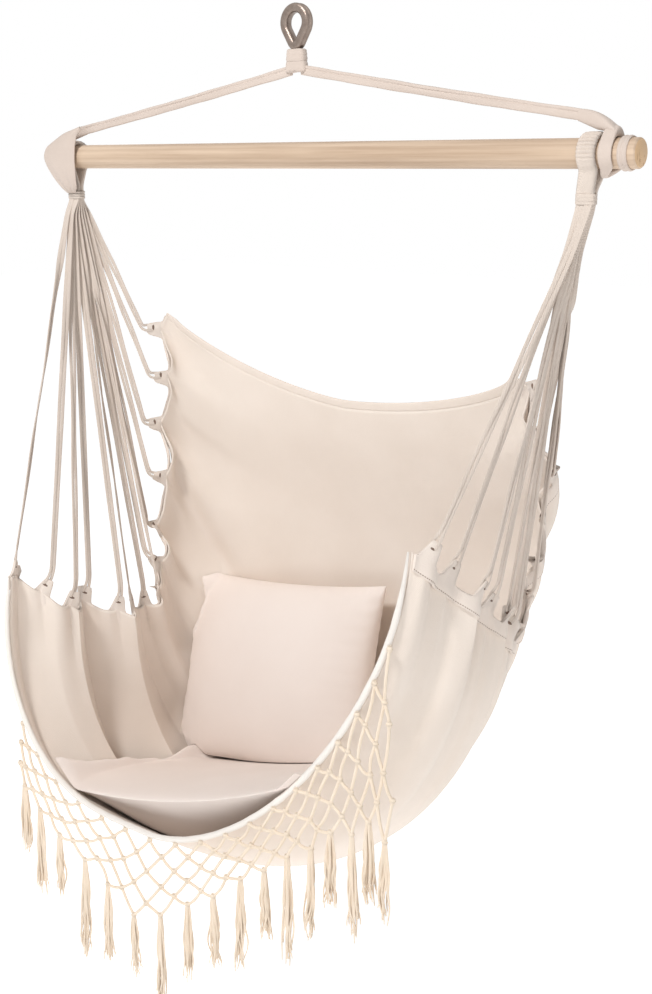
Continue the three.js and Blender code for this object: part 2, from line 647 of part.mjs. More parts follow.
// Knotted net: diamond knots joined by flat strands, hung from the front hem
function pointAlong(points, share) {
  const lengths = points.slice(1).map((point, i) => point.distanceTo(points[i]));
  const total = lengths.reduce((sum, length) => sum + length, 0);
  let left = THREE.MathUtils.clamp(share, 0, 1) * total;
  let i = 0;
  while (i < lengths.length - 1 && left > lengths[i]) {
    left -= lengths[i];
    i += 1;
  }
  return points[i].clone().lerp(points[i + 1], left / lengths[i]);
}
const hemCentres = frontHemPath.map(({ point }) => point);
const hemOuters = frontHemPath.map(({ point, normal }) => (
  point.clone().addScaledVector(normal, frontHemRadius + 2 * clearance + netThickness)
));
function netPoint(across, down) {
  const share = THREE.MathUtils.lerp(netEndShares[0], netEndShares[1], across);
  const top = pointAlong(hemOuters, share);
  const out = top.clone().sub(pointAlong(hemCentres, share)).setZ(0);
  const fall = netDrop * smoothTable(netFallShares, across);
  const stand = out.length() > 0 ? out.normalize().multiplyScalar(netFlare * down) : out;
  return top.add(stand).add(vec(0, 0, -fall * down));
}
{
  const knots = [];
  for (let row = 0; row <= netRows; row += 1) {
    const offset = row % 2 === 0 ? 0 : half(1);
    const count = row % 2 === 0 ? netColumns + 1 : netColumns;
    knots.push(Array.from({ length: count }, (_, i) => {
      const across = (i + offset) / netColumns;
      const down = row / netRows;
      const step = 0.01;
      const ahead = netPoint(Math.min(across + step, 1), down);
      const aside = ahead.sub(netPoint(Math.max(across - step, 0), down));
      const lower = netPoint(across, Math.min(down + step, 1));
      const below = lower.sub(netPoint(across, Math.max(down - step, 0)));
      return { at: netPoint(across, down), aside, below };
    }));
  }
  const positions = [];
  const index = [];
  const addPoint = (point) => positions.push(point.x, point.y, point.z) / 3 - 1;
  const at = (row, i) => (knots[row] ? knots[row][i] : undefined);
  // A knot is a block whose four corners lie where the edges of neighbouring strands meet.
  // Its strands are, anticlockwise: lower right, upper right, upper left and lower left.
  const forkShare = 0.4; // of a strand's length, the most that two strands run as one
  knots.forEach((line, row) => line.forEach((knot, i) => {
    const shift = row % 2 === 0 ? 0 : 1;
    const others = [
      at(row + 1, i + shift), at(row - 1, i + shift), at(row - 1, i + shift - 1), at(row + 1, i + shift - 1),
    ];
    const down = knot.below.clone().normalize();
    const face = knot.below.clone().cross(knot.aside).normalize();
    const aside = face.clone().cross(down).normalize();
    const ways = others.map((other) => (other ? other.at.clone().sub(knot.at) : undefined));
    const shortest = Math.min(...ways.filter((way) => way).map((way) => way.length()));
    const turns = ways.map((way) => (way ? Math.atan2(-way.dot(down), way.dot(aside)) : undefined));
    const full = 2 * Math.PI;
    const known = turns.map((turn, n) => n).filter((n) => turns[n] !== undefined);
    known.forEach((n, order) => {
      while (order > 0 && turns[n] < turns[known[order - 1]]) turns[n] += full;
    });
    const spread = turns.map((turn, n) => {
      if (turn !== undefined) return turn;
      const before = known.filter((k) => k < n).pop();
      const after = known.find((k) => k > n);
      const first = before === undefined ? known[known.length - 1] - turns.length : before;
      const last = after === undefined ? known[0] + turns.length : after;
      const from = before === undefined ? turns[known[known.length - 1]] - full : turns[before];
      const to = after === undefined ? turns[known[0]] + full : turns[after];
      return from + ((to - from) * (n - first)) / (last - first);
    });
    const corner = (n) => {
      const next = (n + 1) % turns.length;
      const end = spread[next] + (next === 0 ? full : 0);
      const between = half(end - spread[n]);
      if (ways[n] && ways[next]) {
        const reach = Math.min(half(netStrand) / Math.sin(between), forkShare * shortest);
        return [spread[n] + between, Math.max(reach, half(netStrand))];
      }
      if (ways[n]) return [spread[n] + half(Math.PI), half(netStrand)];
      if (ways[next]) return [end - half(Math.PI), half(netStrand)];
      return [spread[n] + between, half(netStrand)];
    };
    const corners = (lift) => {
      const [right, high, left, low] = turns.map((_, n) => {
        const [turn, reach] = corner(n);
        return addPoint(knot.at.clone().addScaledVector(face, lift)
          .addScaledVector(aside, reach * Math.cos(turn)).addScaledVector(down, -reach * Math.sin(turn)));
      });
      return { right, high, left, low };
    };
    knot.front = corners(half(netThickness));
    knot.back = corners(-half(netThickness));
  }));
  const wall = (a, b, c, d) => index.push(a, b, c, a, c, d);
  knots.forEach((line, row) => line.forEach((knot, i) => {
    const shift = row % 2 === 0 ? 0 : 1;
    const { front: f, back: b } = knot;
    wall(f.right, f.high, f.left, f.low);
    wall(b.right, b.low, b.left, b.high);
    const lowerRight = at(row + 1, i + shift);
    const lowerLeft = at(row + 1, i + shift - 1);
    // A strand runs down to the right from this knot's right and low corners, and one to the left
    if (lowerRight) {
      const { front: g, back: h } = lowerRight;
      wall(f.right, f.low, g.left, g.high);
      wall(b.low, b.right, h.high, h.left);
      wall(b.right, f.right, g.high, h.high);
      wall(f.low, b.low, h.left, g.left);
    } else if (row < netRows) wall(f.right, f.low, b.low, b.right);
    if (lowerLeft) {
      const { front: g, back: h } = lowerLeft;
      wall(f.low, f.left, g.high, g.right);
      wall(b.left, b.low, h.right, h.high);
      wall(b.low, f.low, g.right, h.right);
      wall(f.left, b.left, h.high, g.high);
    } else if (row < netRows) wall(f.low, f.left, b.left, b.low);
    if (!at(row - 1, i + shift)) wall(f.high, f.right, b.right, b.high);
    if (!at(row - 1, i + shift - 1)) wall(f.left, f.high, b.high, b.left);
  }));

  // Fringe: a hank of loose ends runs down from each of the lowest knots
  knots[netRows].forEach((knot, i) => {
    const length = tasselLength * tasselLengthShares[i % tasselLengthShares.length];
    const beside = knots[netRows].filter((other) => Math.abs(knots[netRows].indexOf(other) - i) === 1);
    const room = Math.min(...beside.map((other) => other.at.clone().sub(knot.at).setZ(0).length()));
    const fullest = Math.min(half(tasselDiameter), tasselRoomShare * room);
    const right = knot.aside.clone().setZ(0).normalize();
    const back = vec(-right.y, right.x, 0);
    const tasselSides = 6;
    const { front: f, back: b } = knot;
    let above = [f.right, f.low, f.left, b.left, b.low, b.right];
    for (const [drop, girth] of tasselShares) {
      const centre = knot.at.clone().add(vec(0, 0, -drop * length));
      const radius = girth * fullest;
      const ring = loop(centre, right, back, radius, radius, tasselSides, Math.PI / tasselSides).reverse();
      ring.unshift(ring.pop());
      const below = ring.map(addPoint);
      above.forEach((corner, n) => {
        const next = (n + 1) % tasselSides;
        wall(corner, above[next], below[next], below[n]);
      });
      above = below;
    }
    for (let n = 1; n < tasselSides - 1; n += 1) index.push(above[0], above[n], above[n + 1]);
  });
  addPiece('fringed_net', outward(positions, index), fringe);
}

// Cushions: two crowned faces that meet at a seam whose sides draw in between the corners
function cushionGeometry(width, length, over, under, sag, place) {
  const fullness = 0.42;
  const grid = (lift) => {
    const points = [];
    for (let i = 0; i <= cushionSteps; i += 1) {
      for (let j = 0; j <= cushionSteps; j += 1) {
        const p = Math.sin(half(Math.PI) * ((2 * i) / cushionSteps - 1));
        const q = Math.sin(half(Math.PI) * ((2 * j) / cushionSteps - 1));
        const crown = Math.max((1 - p * p) * (1 - q * q), 0) ** fullness;
        const x = half(width) * p * (1 - cushionDrawInShare * (1 - q * q) * p * p);
        const y = half(length) * q * (1 - cushionDrawInShare * (1 - p * p) * q * q);
        points.push(vec(x, y, lift * crown + sag * p * p));
      }
    }
    return points;
  };
  const wide = cushionSteps + 1;
  const top = grid(over);
  const bottom = grid(-under);
  const positions = [];
  top.forEach((point) => positions.push(...point.toArray()));
  const lowerIndex = bottom.map((point, n) => {
    const i = Math.floor(n / wide);
    const j = n % wide;
    if (i === 0 || j === 0 || i === cushionSteps || j === cushionSteps) return n;
    positions.push(...point.toArray());
    return positions.length / 3 - 1;
  });
  const index = [];
  for (let i = 0; i < cushionSteps; i += 1) {
    for (let j = 0; j < cushionSteps; j += 1) {
      const a = i * wide + j;
      const b = a + wide;
      const c = b + 1;
      const d = a + 1;
      index.push(a, b, c, a, c, d);
      const [e, f, g, h] = [a, b, c, d].map((n) => lowerIndex[n]);
      index.push(e, g, f, e, h, g);
    }
  }
  return outward(positions, index).applyMatrix4(place);
}

const cutter = toManifold(clothShell(-half(clothThickness) - cushionGap, cushionCutReach));
const seatCushionAt = new THREE.Matrix4().makeRotationX(-seatCushionTiltAngle)
  .setPosition(placeOf(seatCushionShares));
const backCushionAt = new THREE.Matrix4().makeRotationY(-backCushionRollAngle)
  .multiply(new THREE.Matrix4().makeRotationX(half(Math.PI) - backCushionLeanAngle))
  .setPosition(placeOf(backCushionShares));
{
  const seat = toManifold(cushionGeometry(
    seatCushionWidth, seatCushionLength, seatCushionCrown, seatCushionDepth, seatCushionSag, seatCushionAt,
  )).subtract(cutter);
  addPiece('seat_cushion', fromManifold(seat), canvas);
  const grown = toManifold(cushionGeometry(
    seatCushionWidth + cushionGap, seatCushionLength + cushionGap,
    seatCushionCrown + cushionGap, seatCushionDepth, seatCushionSag, seatCushionAt,
  ));
  const crown = half(backCushionThickness);
  const back = toManifold(cushionGeometry(
    backCushionWidth, backCushionHeight, crown, crown, 0, backCushionAt,
  )).subtract(cutter).subtract(grown);
  addPiece('back_cushion', fromManifold(back), canvas);
}

export default chair;
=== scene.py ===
"""Looks of a hammock chair: a canvas seat slung by cotton cords from a pine spreader bar, which
two webbing straps carry from one steel eye. Metres, +Z up, the chair faces -Y and X is along the bar.
"""

import math
from functools import partialmethod

import bpy
import numpy as np
from mathutils import Matrix, Vector
from mathutils.bvhtree import BVHTree


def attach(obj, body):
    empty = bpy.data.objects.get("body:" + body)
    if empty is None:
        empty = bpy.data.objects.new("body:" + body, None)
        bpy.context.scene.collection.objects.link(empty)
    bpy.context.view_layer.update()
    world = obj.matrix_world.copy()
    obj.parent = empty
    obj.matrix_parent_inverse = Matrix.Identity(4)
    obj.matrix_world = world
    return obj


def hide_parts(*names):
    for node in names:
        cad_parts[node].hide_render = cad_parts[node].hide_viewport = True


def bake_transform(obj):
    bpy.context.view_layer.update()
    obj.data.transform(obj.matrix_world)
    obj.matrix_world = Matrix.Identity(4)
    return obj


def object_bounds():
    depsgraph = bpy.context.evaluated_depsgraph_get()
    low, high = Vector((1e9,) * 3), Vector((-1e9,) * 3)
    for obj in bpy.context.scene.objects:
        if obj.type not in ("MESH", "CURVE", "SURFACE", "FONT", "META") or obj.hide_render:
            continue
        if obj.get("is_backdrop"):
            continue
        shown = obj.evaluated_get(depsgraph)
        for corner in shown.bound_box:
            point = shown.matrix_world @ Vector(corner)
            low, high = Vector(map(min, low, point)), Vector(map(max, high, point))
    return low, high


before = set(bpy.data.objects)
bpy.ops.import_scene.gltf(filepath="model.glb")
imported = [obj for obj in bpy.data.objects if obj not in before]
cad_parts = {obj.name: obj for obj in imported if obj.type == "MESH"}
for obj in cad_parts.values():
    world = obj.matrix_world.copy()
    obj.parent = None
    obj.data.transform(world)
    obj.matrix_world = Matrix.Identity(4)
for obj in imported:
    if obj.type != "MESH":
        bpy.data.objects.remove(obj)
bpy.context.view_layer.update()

# Hanging eye: a teardrop thimble of cast steel, grey-brown and rubbed smooth. Two rounded ridges
# stand either side of the groove round its outside. In use its top hangs on the owner's hook.
EYE_HALF_THICK = 0.0063
EYE_HALF_DEPTH = 0.0072
EYE_TOP_RADIUS, EYE_TOP_Z = 0.018, -0.0125  # centre line of the wide upper bend
EYE_FOOT_RADIUS, EYE_FOOT_Z = 0.007, -0.0335  # and of the narrow lower one
EYE_GROOVE_DEPTH, EYE_GROOVE_WIDTH = 0.003, 0.0019
EYE_TOP_STEPS, EYE_SIDE_STEPS, EYE_FOOT_STEPS, EYE_SECTION_SIDES = 90, 8, 30, 48
ROUND, ROUNDED = 2, 2.6  # a section's squareness, 2 being an ellipse
X_AXIS, Y_AXIS, Z_AXIS = np.eye(3)


def colour(red, green, blue):
    """A screen colour, 0 to 255, in the linear form that shaders take"""
    shown = np.array([red, green, blue]) / 255
    linear = np.where(shown <= 0.04045, shown / 12.92, ((shown + 0.055) / 1.055) ** 2.4)
    return (*linear.tolist(), 1.0)


def unit(vectors):
    """The same directions with a length of one"""
    return vectors / np.linalg.norm(vectors, axis=-1, keepdims=True)


def oval(sides, square):
    """Points round a closed section: cosine and sine of even angles, each raised to 2 / square"""
    angle = np.linspace(0, 2 * np.pi, sides, endpoint=False)
    both = np.stack([np.cos(angle), np.sin(angle)], -1)
    return np.sign(both) * np.abs(both) ** (2 / square)


def run_of(points, axis=0):
    """The distance to each point of a line from its first one, or of a grid's lines along an axis"""
    steps = np.diff(points, axis=axis, prepend=points.take([0], axis))
    return np.linalg.norm(steps, axis=-1).cumsum(axis)


def quads(rows, columns):
    """The row and the column of each of the four corners of every face in a grid of faces"""
    i, j = np.indices((rows, columns)).reshape(2, -1, 1)
    return i + [0, 0, 1, 1], j + [0, 1, 1, 0]


def surface(name, grids, ring=True, run=False, ends=True, sharp=40):
    """A mesh of grids of points, rows along and columns across, with a UV map in metres. ring joins
    each last column to the first, run the last row to the first, and ends closes both ends with rungs
    from one half of the section to the other, which suits flat sections and round ones."""
    points, faces, uvs, start = [], [], [], 0
    for grid in grids:
        rows, columns = grid.shape[:2]
        wrapped = np.pad(grid, ((0, run), (0, ring), (0, 0)), mode="wrap")
        i, j = quads(wrapped.shape[0] - 1, wrapped.shape[1] - 1)
        faces += (start + i % rows * columns + j % columns).tolist()
        uvs.append(np.stack([run_of(wrapped, 1), run_of(wrapped)], -1)[i, j].reshape(-1, 2))
        if ends and not run:
            half = columns // 2
            rungs = [[k, k + 1, columns - 2 - k, columns - 1 - k] for k in range(half - 1)]
            rungs += [[half - 1, half, half + 1]] if columns % 2 else []
            faces += [[start + k for k in rung[::-1]] for rung in rungs]
            faces += [[start + (rows - 1) * columns + k for k in rung] for rung in rungs]
            uvs.append(np.zeros((2 * sum(map(len, rungs)), 2)))
        points.append(grid.reshape(-1, 3))
        start += rows * columns
    mesh = bpy.data.meshes.new(name)
    mesh.from_pydata(np.concatenate(points), [], faces)
    mesh.uv_layers.new(name="metres").data.foreach_set("uv", np.concatenate(uvs).ravel())
    mesh.shade_smooth()
    mesh.set_sharp_from_angle(angle=math.radians(sharp))
    volume = sum(face.area * face.normal.dot(face.center) for face in mesh.polygons)
    if ring and volume < 0:  # its faces look inward
        mesh.flip_normals()
    return mesh


def piece(name, grids, material, body, slot, *stands_for, **form):
    """One piece: a surface of grids, in a form that surface takes. It stands for CAD nodes and moves
    with its body, or has no body."""
    mesh = surface(name, grids, **form)
    made = bpy.data.objects.new(name, mesh)
    bpy.context.scene.collection.objects.link(made)
    mesh.materials.append(material)
    if body:
        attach(made, body)
    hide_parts(*stands_for)
    return made


class Wire:
    """A shader socket that adds, subtracts, multiplies and divides like a number"""

    def __init__(self, socket):
        self.socket = socket

    def node(self, kind, settings, values, output=0):
        """Any other node: its settings first, then the inputs that plain values or wires feed"""
        tree = self.socket.id_data
        made = tree.nodes.new(kind)
        for key, value in settings.items():
            setattr(made, key, value)
        for key, value in values.items():
            if isinstance(value, Wire):
                tree.links.new(value.socket, made.inputs[key])
            else:
                made.inputs[key].default_value = value
        return Wire(made.outputs[output])

    def math(self, operation, other=0.0):
        """One Math node of this value, such as its SINE, or of it and another"""
        return self.node("ShaderNodeMath", {"operation": operation}, {0: self, 1: other})

    def math_after(self, operation, other):
        """One Math node of another value and this one"""
        return self.node("ShaderNodeMath", {"operation": operation}, {0: other, 1: self})

    __add__, __radd__ = partialmethod(math, "ADD"), partialmethod(math_after, "ADD")
    __sub__, __rsub__ = partialmethod(math, "SUBTRACT"), partialmethod(math_after, "SUBTRACT")
    __mul__, __rmul__ = partialmethod(math, "MULTIPLY"), partialmethod(math_after, "MULTIPLY")
    __truediv__, __rtruediv__ = partialmethod(math, "DIVIDE"), partialmethod(math_after, "DIVIDE")

    def wave(self, pitch):
        """A sine wave from -1 to 1, one pitch of this value from crest to crest"""
        return (self * (2 * math.pi / pitch)).math("SINE")

    def noise(self, *stretch, detail=3.0, roughness=0.5):
        """Noise from 0 to 1 on this vector times a stretch, which is one number or one for each side"""
        values = {0: self, 1: (stretch * 3)[:3]}
        scaled = self.node("ShaderNodeVectorMath", {"operation": "MULTIPLY"}, values)
        values = {"Vector": scaled, "Scale": 1.0, "Detail": detail, "Roughness": roughness}
        return self.node("ShaderNodeTexNoise", {}, values)

    def paint(self, low, high):
        """The colour between two screen colours or wires, at this value's share from 0 to 1"""
        low, high = (end if isinstance(end, Wire) else colour(*end) for end in (low, high))
        return self.node("ShaderNodeMix", {"data_type": "RGBA"}, {0: self, 6: low, 7: high}, 2)

    def side(self, axis):
        """One side of a vector"""
        return self.node("ShaderNodeSeparateXYZ", {}, {0: self}, axis)

    def relief(self, depth):
        """A normal for this height, 0 to 1, over a depth in metres"""
        return self.node("ShaderNodeBump", {}, {"Strength": 1.0, "Distance": depth, "Height": self})

    def feed(self, name, shader="Principled BSDF"):
        """Joins this value to an input of its tree's own shader"""
        tree = self.socket.id_data
        tree.links.new(self.socket, tree.nodes[shader].inputs[name])


def new_material(name, values):
    """A Principled material with some of its inputs set, and its Object and UV places as wires"""
    made = bpy.data.materials.new(name)
    made.use_nodes = True
    inputs = made.node_tree.nodes["Principled BSDF"].inputs
    for key, value in values.items():
        inputs[key].default_value = value
    tree = Wire(inputs["Normal"])
    return made, *(tree.node("ShaderNodeTexCoord", {}, {}, kind) for kind in ("Object", "UV"))


steel, place, _ = new_material("worn_steel", {"Roughness": 0.36, "Metallic": 0.85})
place.noise(160, detail=4).paint((112, 96, 87), (158, 145, 136)).feed("Base Color")
place.noise(700).relief(depth=0.0002).feed("Normal")

slant = math.asin((EYE_TOP_RADIUS - EYE_FOOT_RADIUS) / (EYE_TOP_Z - EYE_FOOT_Z))
top_bend, foot_bend = (EYE_TOP_RADIUS, EYE_TOP_Z), (EYE_FOOT_RADIUS, EYE_FOOT_Z)
centre_line = np.concatenate([
    np.linspace((start, *bend), (end, *next_bend), count, endpoint=False)
    for start, end, bend, next_bend, count in (
        (-slant, np.pi + slant, top_bend, top_bend, EYE_TOP_STEPS),
        (np.pi + slant, np.pi + slant, top_bend, foot_bend, EYE_SIDE_STEPS),
        (np.pi + slant, 2 * np.pi - slant, foot_bend, foot_bend, EYE_FOOT_STEPS),
        (2 * np.pi - slant, 2 * np.pi - slant, foot_bend, top_bend, EYE_SIDE_STEPS),
    )])
turns, radii, heights = centre_line.T[..., None]
profile = oval(EYE_SECTION_SIDES, ROUNDED)
deep = EYE_HALF_DEPTH * profile[:, 1]
groove = EYE_GROOVE_DEPTH * np.exp(-((deep / EYE_GROOVE_WIDTH) ** 2)) * (profile[:, 0] > 0)
reach = radii + EYE_HALF_THICK * profile[:, 0] - groove
ring = np.stack([reach * np.cos(turns), deep + 0 * reach, heights + reach * np.sin(turns)], -1)
piece("eye_thimble", [ring], steel, "eye", "steel", "hanging_eye", run=True)

# Sleeve and gather: pale cotton webbing folded through the eye's foot and bound round itself.
# Under the sleeve the two layers part over a flat sewn fold, which bends as the chair swings.
SLEEVE_TOP_Z, SLEEVE_FOOT_Z = -0.0448, -0.0603
SLEEVE_TOP_HALF_WIDTH, SLEEVE_FOOT_HALF_WIDTH, SLEEVE_HALF_DEPTH = 0.0138, 0.0156, 0.007
SLEEVE_FOLDS, SLEEVE_FOLD_DEPTH = 3, 0.015  # the second as a share of its width
GATHER_Z = -0.0696
GATHER_TOP_Z, GATHER_FOOT_Z, GATHER_BEND_FOOT_Z = -0.0604, -0.0752, -0.0722
GATHER_FOOT_HALF_WIDTH, GATHER_THINNER, GATHER_NOTCH = 0.018, 0.94, 0.0022
# How much of its width each end draws in, and the power by which that fades: top, then foot
SLEEVE_LIPS, GATHER_LIPS = ((0.22, 20), (0.05, 20)), ((0.05, 16), (0.24, 10))
BOXY = 3.6
WEAVE, STRAP_WEAVE = 0.0011, 0.0014  # from one thread to the next


def woven(name, light, shade, thread=WEAVE, depth=0.0003):
    """Plain weave: the product of a sine across and a sine along, on a slubby uneven ground"""
    made, place, flat = new_material(name, {"Roughness": 0.92, "Sheen Weight": 0.15})
    crossing = flat.side(0).wave(2 * thread) * flat.side(1).wave(2 * thread)
    slub = flat.noise(90, 900, 0) + flat.noise(900, 90, 0)
    cloud = place.noise(9, detail=5)
    (cloud * 0.75 + slub * 0.12).paint(shade, light).feed("Base Color")
    (crossing * 0.25 + slub * 0.4).relief(depth).feed("Normal")
    return made


webbing = woven("cotton_webbing", (214, 200, 190), (190, 174, 162), thread=STRAP_WEAVE)


def loft(centres, sides, ups, half_widths, half_heights, square=BOXY, count=28):
    """One grid: an oval section at each centre, as wide along its side and as high along its up as
    the two sizes say. One side, up or size may serve all the centres."""
    section = oval(count, square)
    sides, ups = (np.broadcast_to(ways, centres.shape)[:, None] for ways in (sides, ups))
    wide, high = (np.broadcast_to(np.ravel(size), len(centres))[:, None, None]
                  for size in (half_widths, half_heights))
    return centres[:, None] + wide * section[:, :1] * sides + high * section[:, 1:] * ups


def sewn_block(top, foot, half_widths, half_depth, lips, fold_depth, rows):
    """Webbing sewn into a flat block on the Z axis. Its width runs evenly from top to foot, less what
    its lips draw in at both ends, times a sine wave of folds. Also how far down each row is."""
    along = np.linspace(0, 1, rows)
    centre = Z_AXIS * (top + (foot - top) * along)[:, None]
    (head_in, head_power), (foot_in, foot_power) = lips
    lip = 1 - head_in * (1 - along) ** head_power - foot_in * along**foot_power
    fold = 1 + fold_depth * np.sin(along * SLEEVE_FOLDS * 2 * np.pi)
    width = np.interp(along, (0, 1), half_widths) * lip * fold
    return loft(centre, X_AXIS, Y_AXIS, width, half_depth * lip * fold), along


grid, _ = sewn_block(SLEEVE_TOP_Z, SLEEVE_FOOT_Z, (SLEEVE_TOP_HALF_WIDTH, SLEEVE_FOOT_HALF_WIDTH),
                     SLEEVE_HALF_DEPTH, SLEEVE_LIPS, SLEEVE_FOLD_DEPTH, rows=24)
piece("eye_sleeve", [grid], webbing, "binding", "canvas", "eye_binding")

grid, along = sewn_block(GATHER_TOP_Z, GATHER_FOOT_Z, (SLEEVE_FOOT_HALF_WIDTH, GATHER_FOOT_HALF_WIDTH),
                         SLEEVE_HALF_DEPTH * GATHER_THINNER, GATHER_LIPS, fold_depth=0, rows=22)
grid[..., 2] += GATHER_NOTCH * along[:, None] * (1 - np.abs(grid[..., 0]) / GATHER_FOOT_HALF_WIDTH)
fold = piece("strap_fold", [grid], webbing, None, "canvas", "strap_gather")
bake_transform(fold)

# Suspension straps: one length of cotton webbing each, taut from the gather to the bar's slings,
# folded in half lengthwise so that its upper edge shows a seam.
STRAP_START = 0.0093  # from the gather's middle
STRAP_END_X, STRAP_END_Z = 0.415, {"left": -0.1395, "right": -0.136}
STRAP_HALF_WIDTH, STRAP_HALF_THICK = 0.0063, 0.0025
STRAP_SEAM, STRAP_SEAM_WIDTH = 0.35, 0.09  # its place and width, the strap's half width being 1
STRAP_SEAM_DEPTH = 0.55  # of the half thickness
STRAP_SAG, STRAP_RIPPLE = 0.0012, 0.05  # the second as a share of its half width
STRAP_TWIST, STRAP_TWISTS = 0.28, 3.1  # the webbing twists a little: radians, and half turns
STRAP_SECTION_SIDES = 56
SIDES = (("left", -1), ("right", 1))
for name, sign in SIDES:
    start, end = np.array([0, 0, GATHER_Z]), np.array([sign * STRAP_END_X, 0, STRAP_END_Z[name]])
    way = unit(end - start)
    up = np.array([-way[2] * sign, 0, way[0] * sign])
    start = start + way * STRAP_START
    along = np.linspace(0, 1, 90)[:, None]
    centre = start + (end - start) * along + STRAP_SAG * np.sin(np.pi * along) * [0, 0, -1]
    turn = STRAP_TWIST * np.sin(STRAP_TWISTS * np.pi * along) * np.sin(np.pi * along)
    sides = up * np.cos(turn) + Y_AXIS * np.sin(turn)
    ups = np.cross(way, sides)
    width = STRAP_HALF_WIDTH * (1 + STRAP_RIPPLE * np.sin(along * 31) * np.sin(along * 12))
    grid = loft(centre, sides, ups, width, STRAP_HALF_THICK, count=STRAP_SECTION_SIDES)
    section = oval(STRAP_SECTION_SIDES, BOXY)
    seam = np.exp(-(((section[:, 0] - STRAP_SEAM) / STRAP_SEAM_WIDTH) ** 2))
    seam = seam * section[:, 1] * STRAP_HALF_THICK
    grid = grid - STRAP_SEAM_DEPTH * seam[:, None] * ups[:, None]
    piece(f"{name}_leg_webbing", [grid], webbing, "suspension", "canvas", f"{name}_strap")

# Bar slings: a loop of the same webbing round each end of the bar, sewn to its strap at a folded
# shoulder and closed by a seam underneath. The left one is pulled out over the bar's tip.
BAR_Z = -0.178
SLING_X, SLING_WIDTH = 0.447, 0.0165
SLING_INNER, SLING_OUTER = 0.0178, 0.0208  # radii about the bar
SLING_RISE, SLING_FALL = 0.03, {"left": 0.0375, "right": 0.027}
SHOULDER_HALF_DEPTHS = (0.0026, 0.0095)  # at the strap and at its far end
SHOULDER_OVERLAP, SHOULDER_REACH, SHOULDER_FALL = 0.004, 0.05, 0.02
SHOULDER_ABOVE, SHOULDER_BELOW, SHOULDER_SEAT, SHOULDER_DIP = 0.0064, 0.0066, 0.0046, 0.0052
SLING_FOOT_SHIFT, SLING_FOOT_NARROWER = 0.0035, 0.5  # where the lower seam draws it together
SLING_FOOT_ANGLE, SLING_HEAD_ANGLE, SLING_FOOT_OPEN = 0.42, 0.5, 0.4
# The left loop's front is pulled wide over the tip: X and Z down its outer and its inner edge
KITE_OUTER = np.array([[-0.4068, -0.1355], [-0.439, -0.144], [-0.477, -0.1645], [-0.4815, -0.176],
                       [-0.478, -0.1895], [-0.452, -0.2269], [-0.449, -0.231]])
KITE_INNER = np.array([[-0.405, -0.138], [-0.413, -0.148], [-0.415, -0.161], [-0.4156, -0.175],
                       [-0.4178, -0.1989], [-0.4234, -0.2233], [-0.432, -0.23]])
KITE_REACH, KITE_HALF_HEIGHT, KITE_HALF_THICK = 0.0268, 0.056, 0.0014
KITE_FLAT, KITE_ROUND, KITE_CREASE = 0.82, 0.18, 0.0011


def smooth(share):
    """A share from 0 to 1 eased at both ends: its square times 3 less twice itself"""
    return share**2 * (3 - 2 * share)


def about_bar(x, radius, angle):
    """Points round the bar's axis, the angle running from straight up towards the chair's front"""
    return np.stack(np.broadcast_arrays(x, -radius * np.sin(angle), BAR_Z + radius * np.cos(angle)), -1)


for name, sign in SIDES:
    # The loop: a strip between an inner and an outer radius that draws together above and below
    angle = np.linspace(-np.pi, np.pi, 97)[:-1, None]
    near_foot = np.exp(-(((np.pi - np.abs(angle)) / SLING_FOOT_ANGLE) ** 2))
    near_head = np.exp(-((angle / SLING_HEAD_ANGLE) ** 2))
    fall = SLING_FALL[name] - SLING_OUTER
    outer = SLING_OUTER + fall * near_foot + (SLING_RISE - SLING_OUTER) * near_head
    inner = SLING_INNER + SLING_FOOT_OPEN * fall * near_foot
    section = oval(26, BOXY)
    width = SLING_WIDTH * (1 - SLING_FOOT_NARROWER * near_foot)
    x = SLING_X - SLING_FOOT_SHIFT * near_foot + width * (1 + section[:, 0]) / 2
    radius = (outer + inner) / 2 + (outer - inner) / 2 * section[:, 1]
    band = about_bar(sign * x, radius, angle)
    # The shoulder: a tongue from the strap's end that spreads over the loop's top
    share = np.linspace(0, 1, 26)
    top = BAR_Z + SLING_OUTER + SHOULDER_SEAT
    low = STRAP_END_Z[name] - SHOULDER_BELOW
    low = low + (top - low) * np.minimum(2 * share, 1) - SHOULDER_DIP * np.maximum(2 * share - 1, 0)
    high = STRAP_END_Z[name] + SHOULDER_ABOVE - SHOULDER_FALL * share**2.2
    x = sign * (STRAP_END_X - SHOULDER_OVERLAP + SHOULDER_REACH * share)
    centre = np.stack([x, 0 * share, (low + high) / 2], -1)
    deep = np.interp(smooth(share), (0, 1), SHOULDER_HALF_DEPTHS)
    tongue = loft(centre, Y_AXIS, Z_AXIS, deep, (high - low) / 2 * (1 - 0.35 * share**6), ROUNDED)
    piece(f"{name}_sling_shoulder", [tongue], webbing, "suspension", "canvas", f"{name}_bar_sling")
    piece(f"{name}_sling_loop", [band], webbing, "suspension", "canvas", run=True)


def outward_of(grid):
    """Unit normals of a grid of points"""
    return unit(np.cross(np.gradient(grid, axis=0), np.gradient(grid, axis=1)))


def between(at, known, points):
    """Points at places along a run, straight between the ones at its known places"""
    return np.stack([np.interp(at, known, values) for values in points.T], -1)


def evenly(points, count, passes):
    """The same path at evenly spaced points, once its corners are rounded by a number of passes"""
    reach = run_of(points)
    path = between(np.linspace(0, reach[-1], count), reach, points)
    for _ in range(passes):
        path[1:-1] = (path[:-2] + 2 * path[1:-1] + path[2:]) / 4
    return path


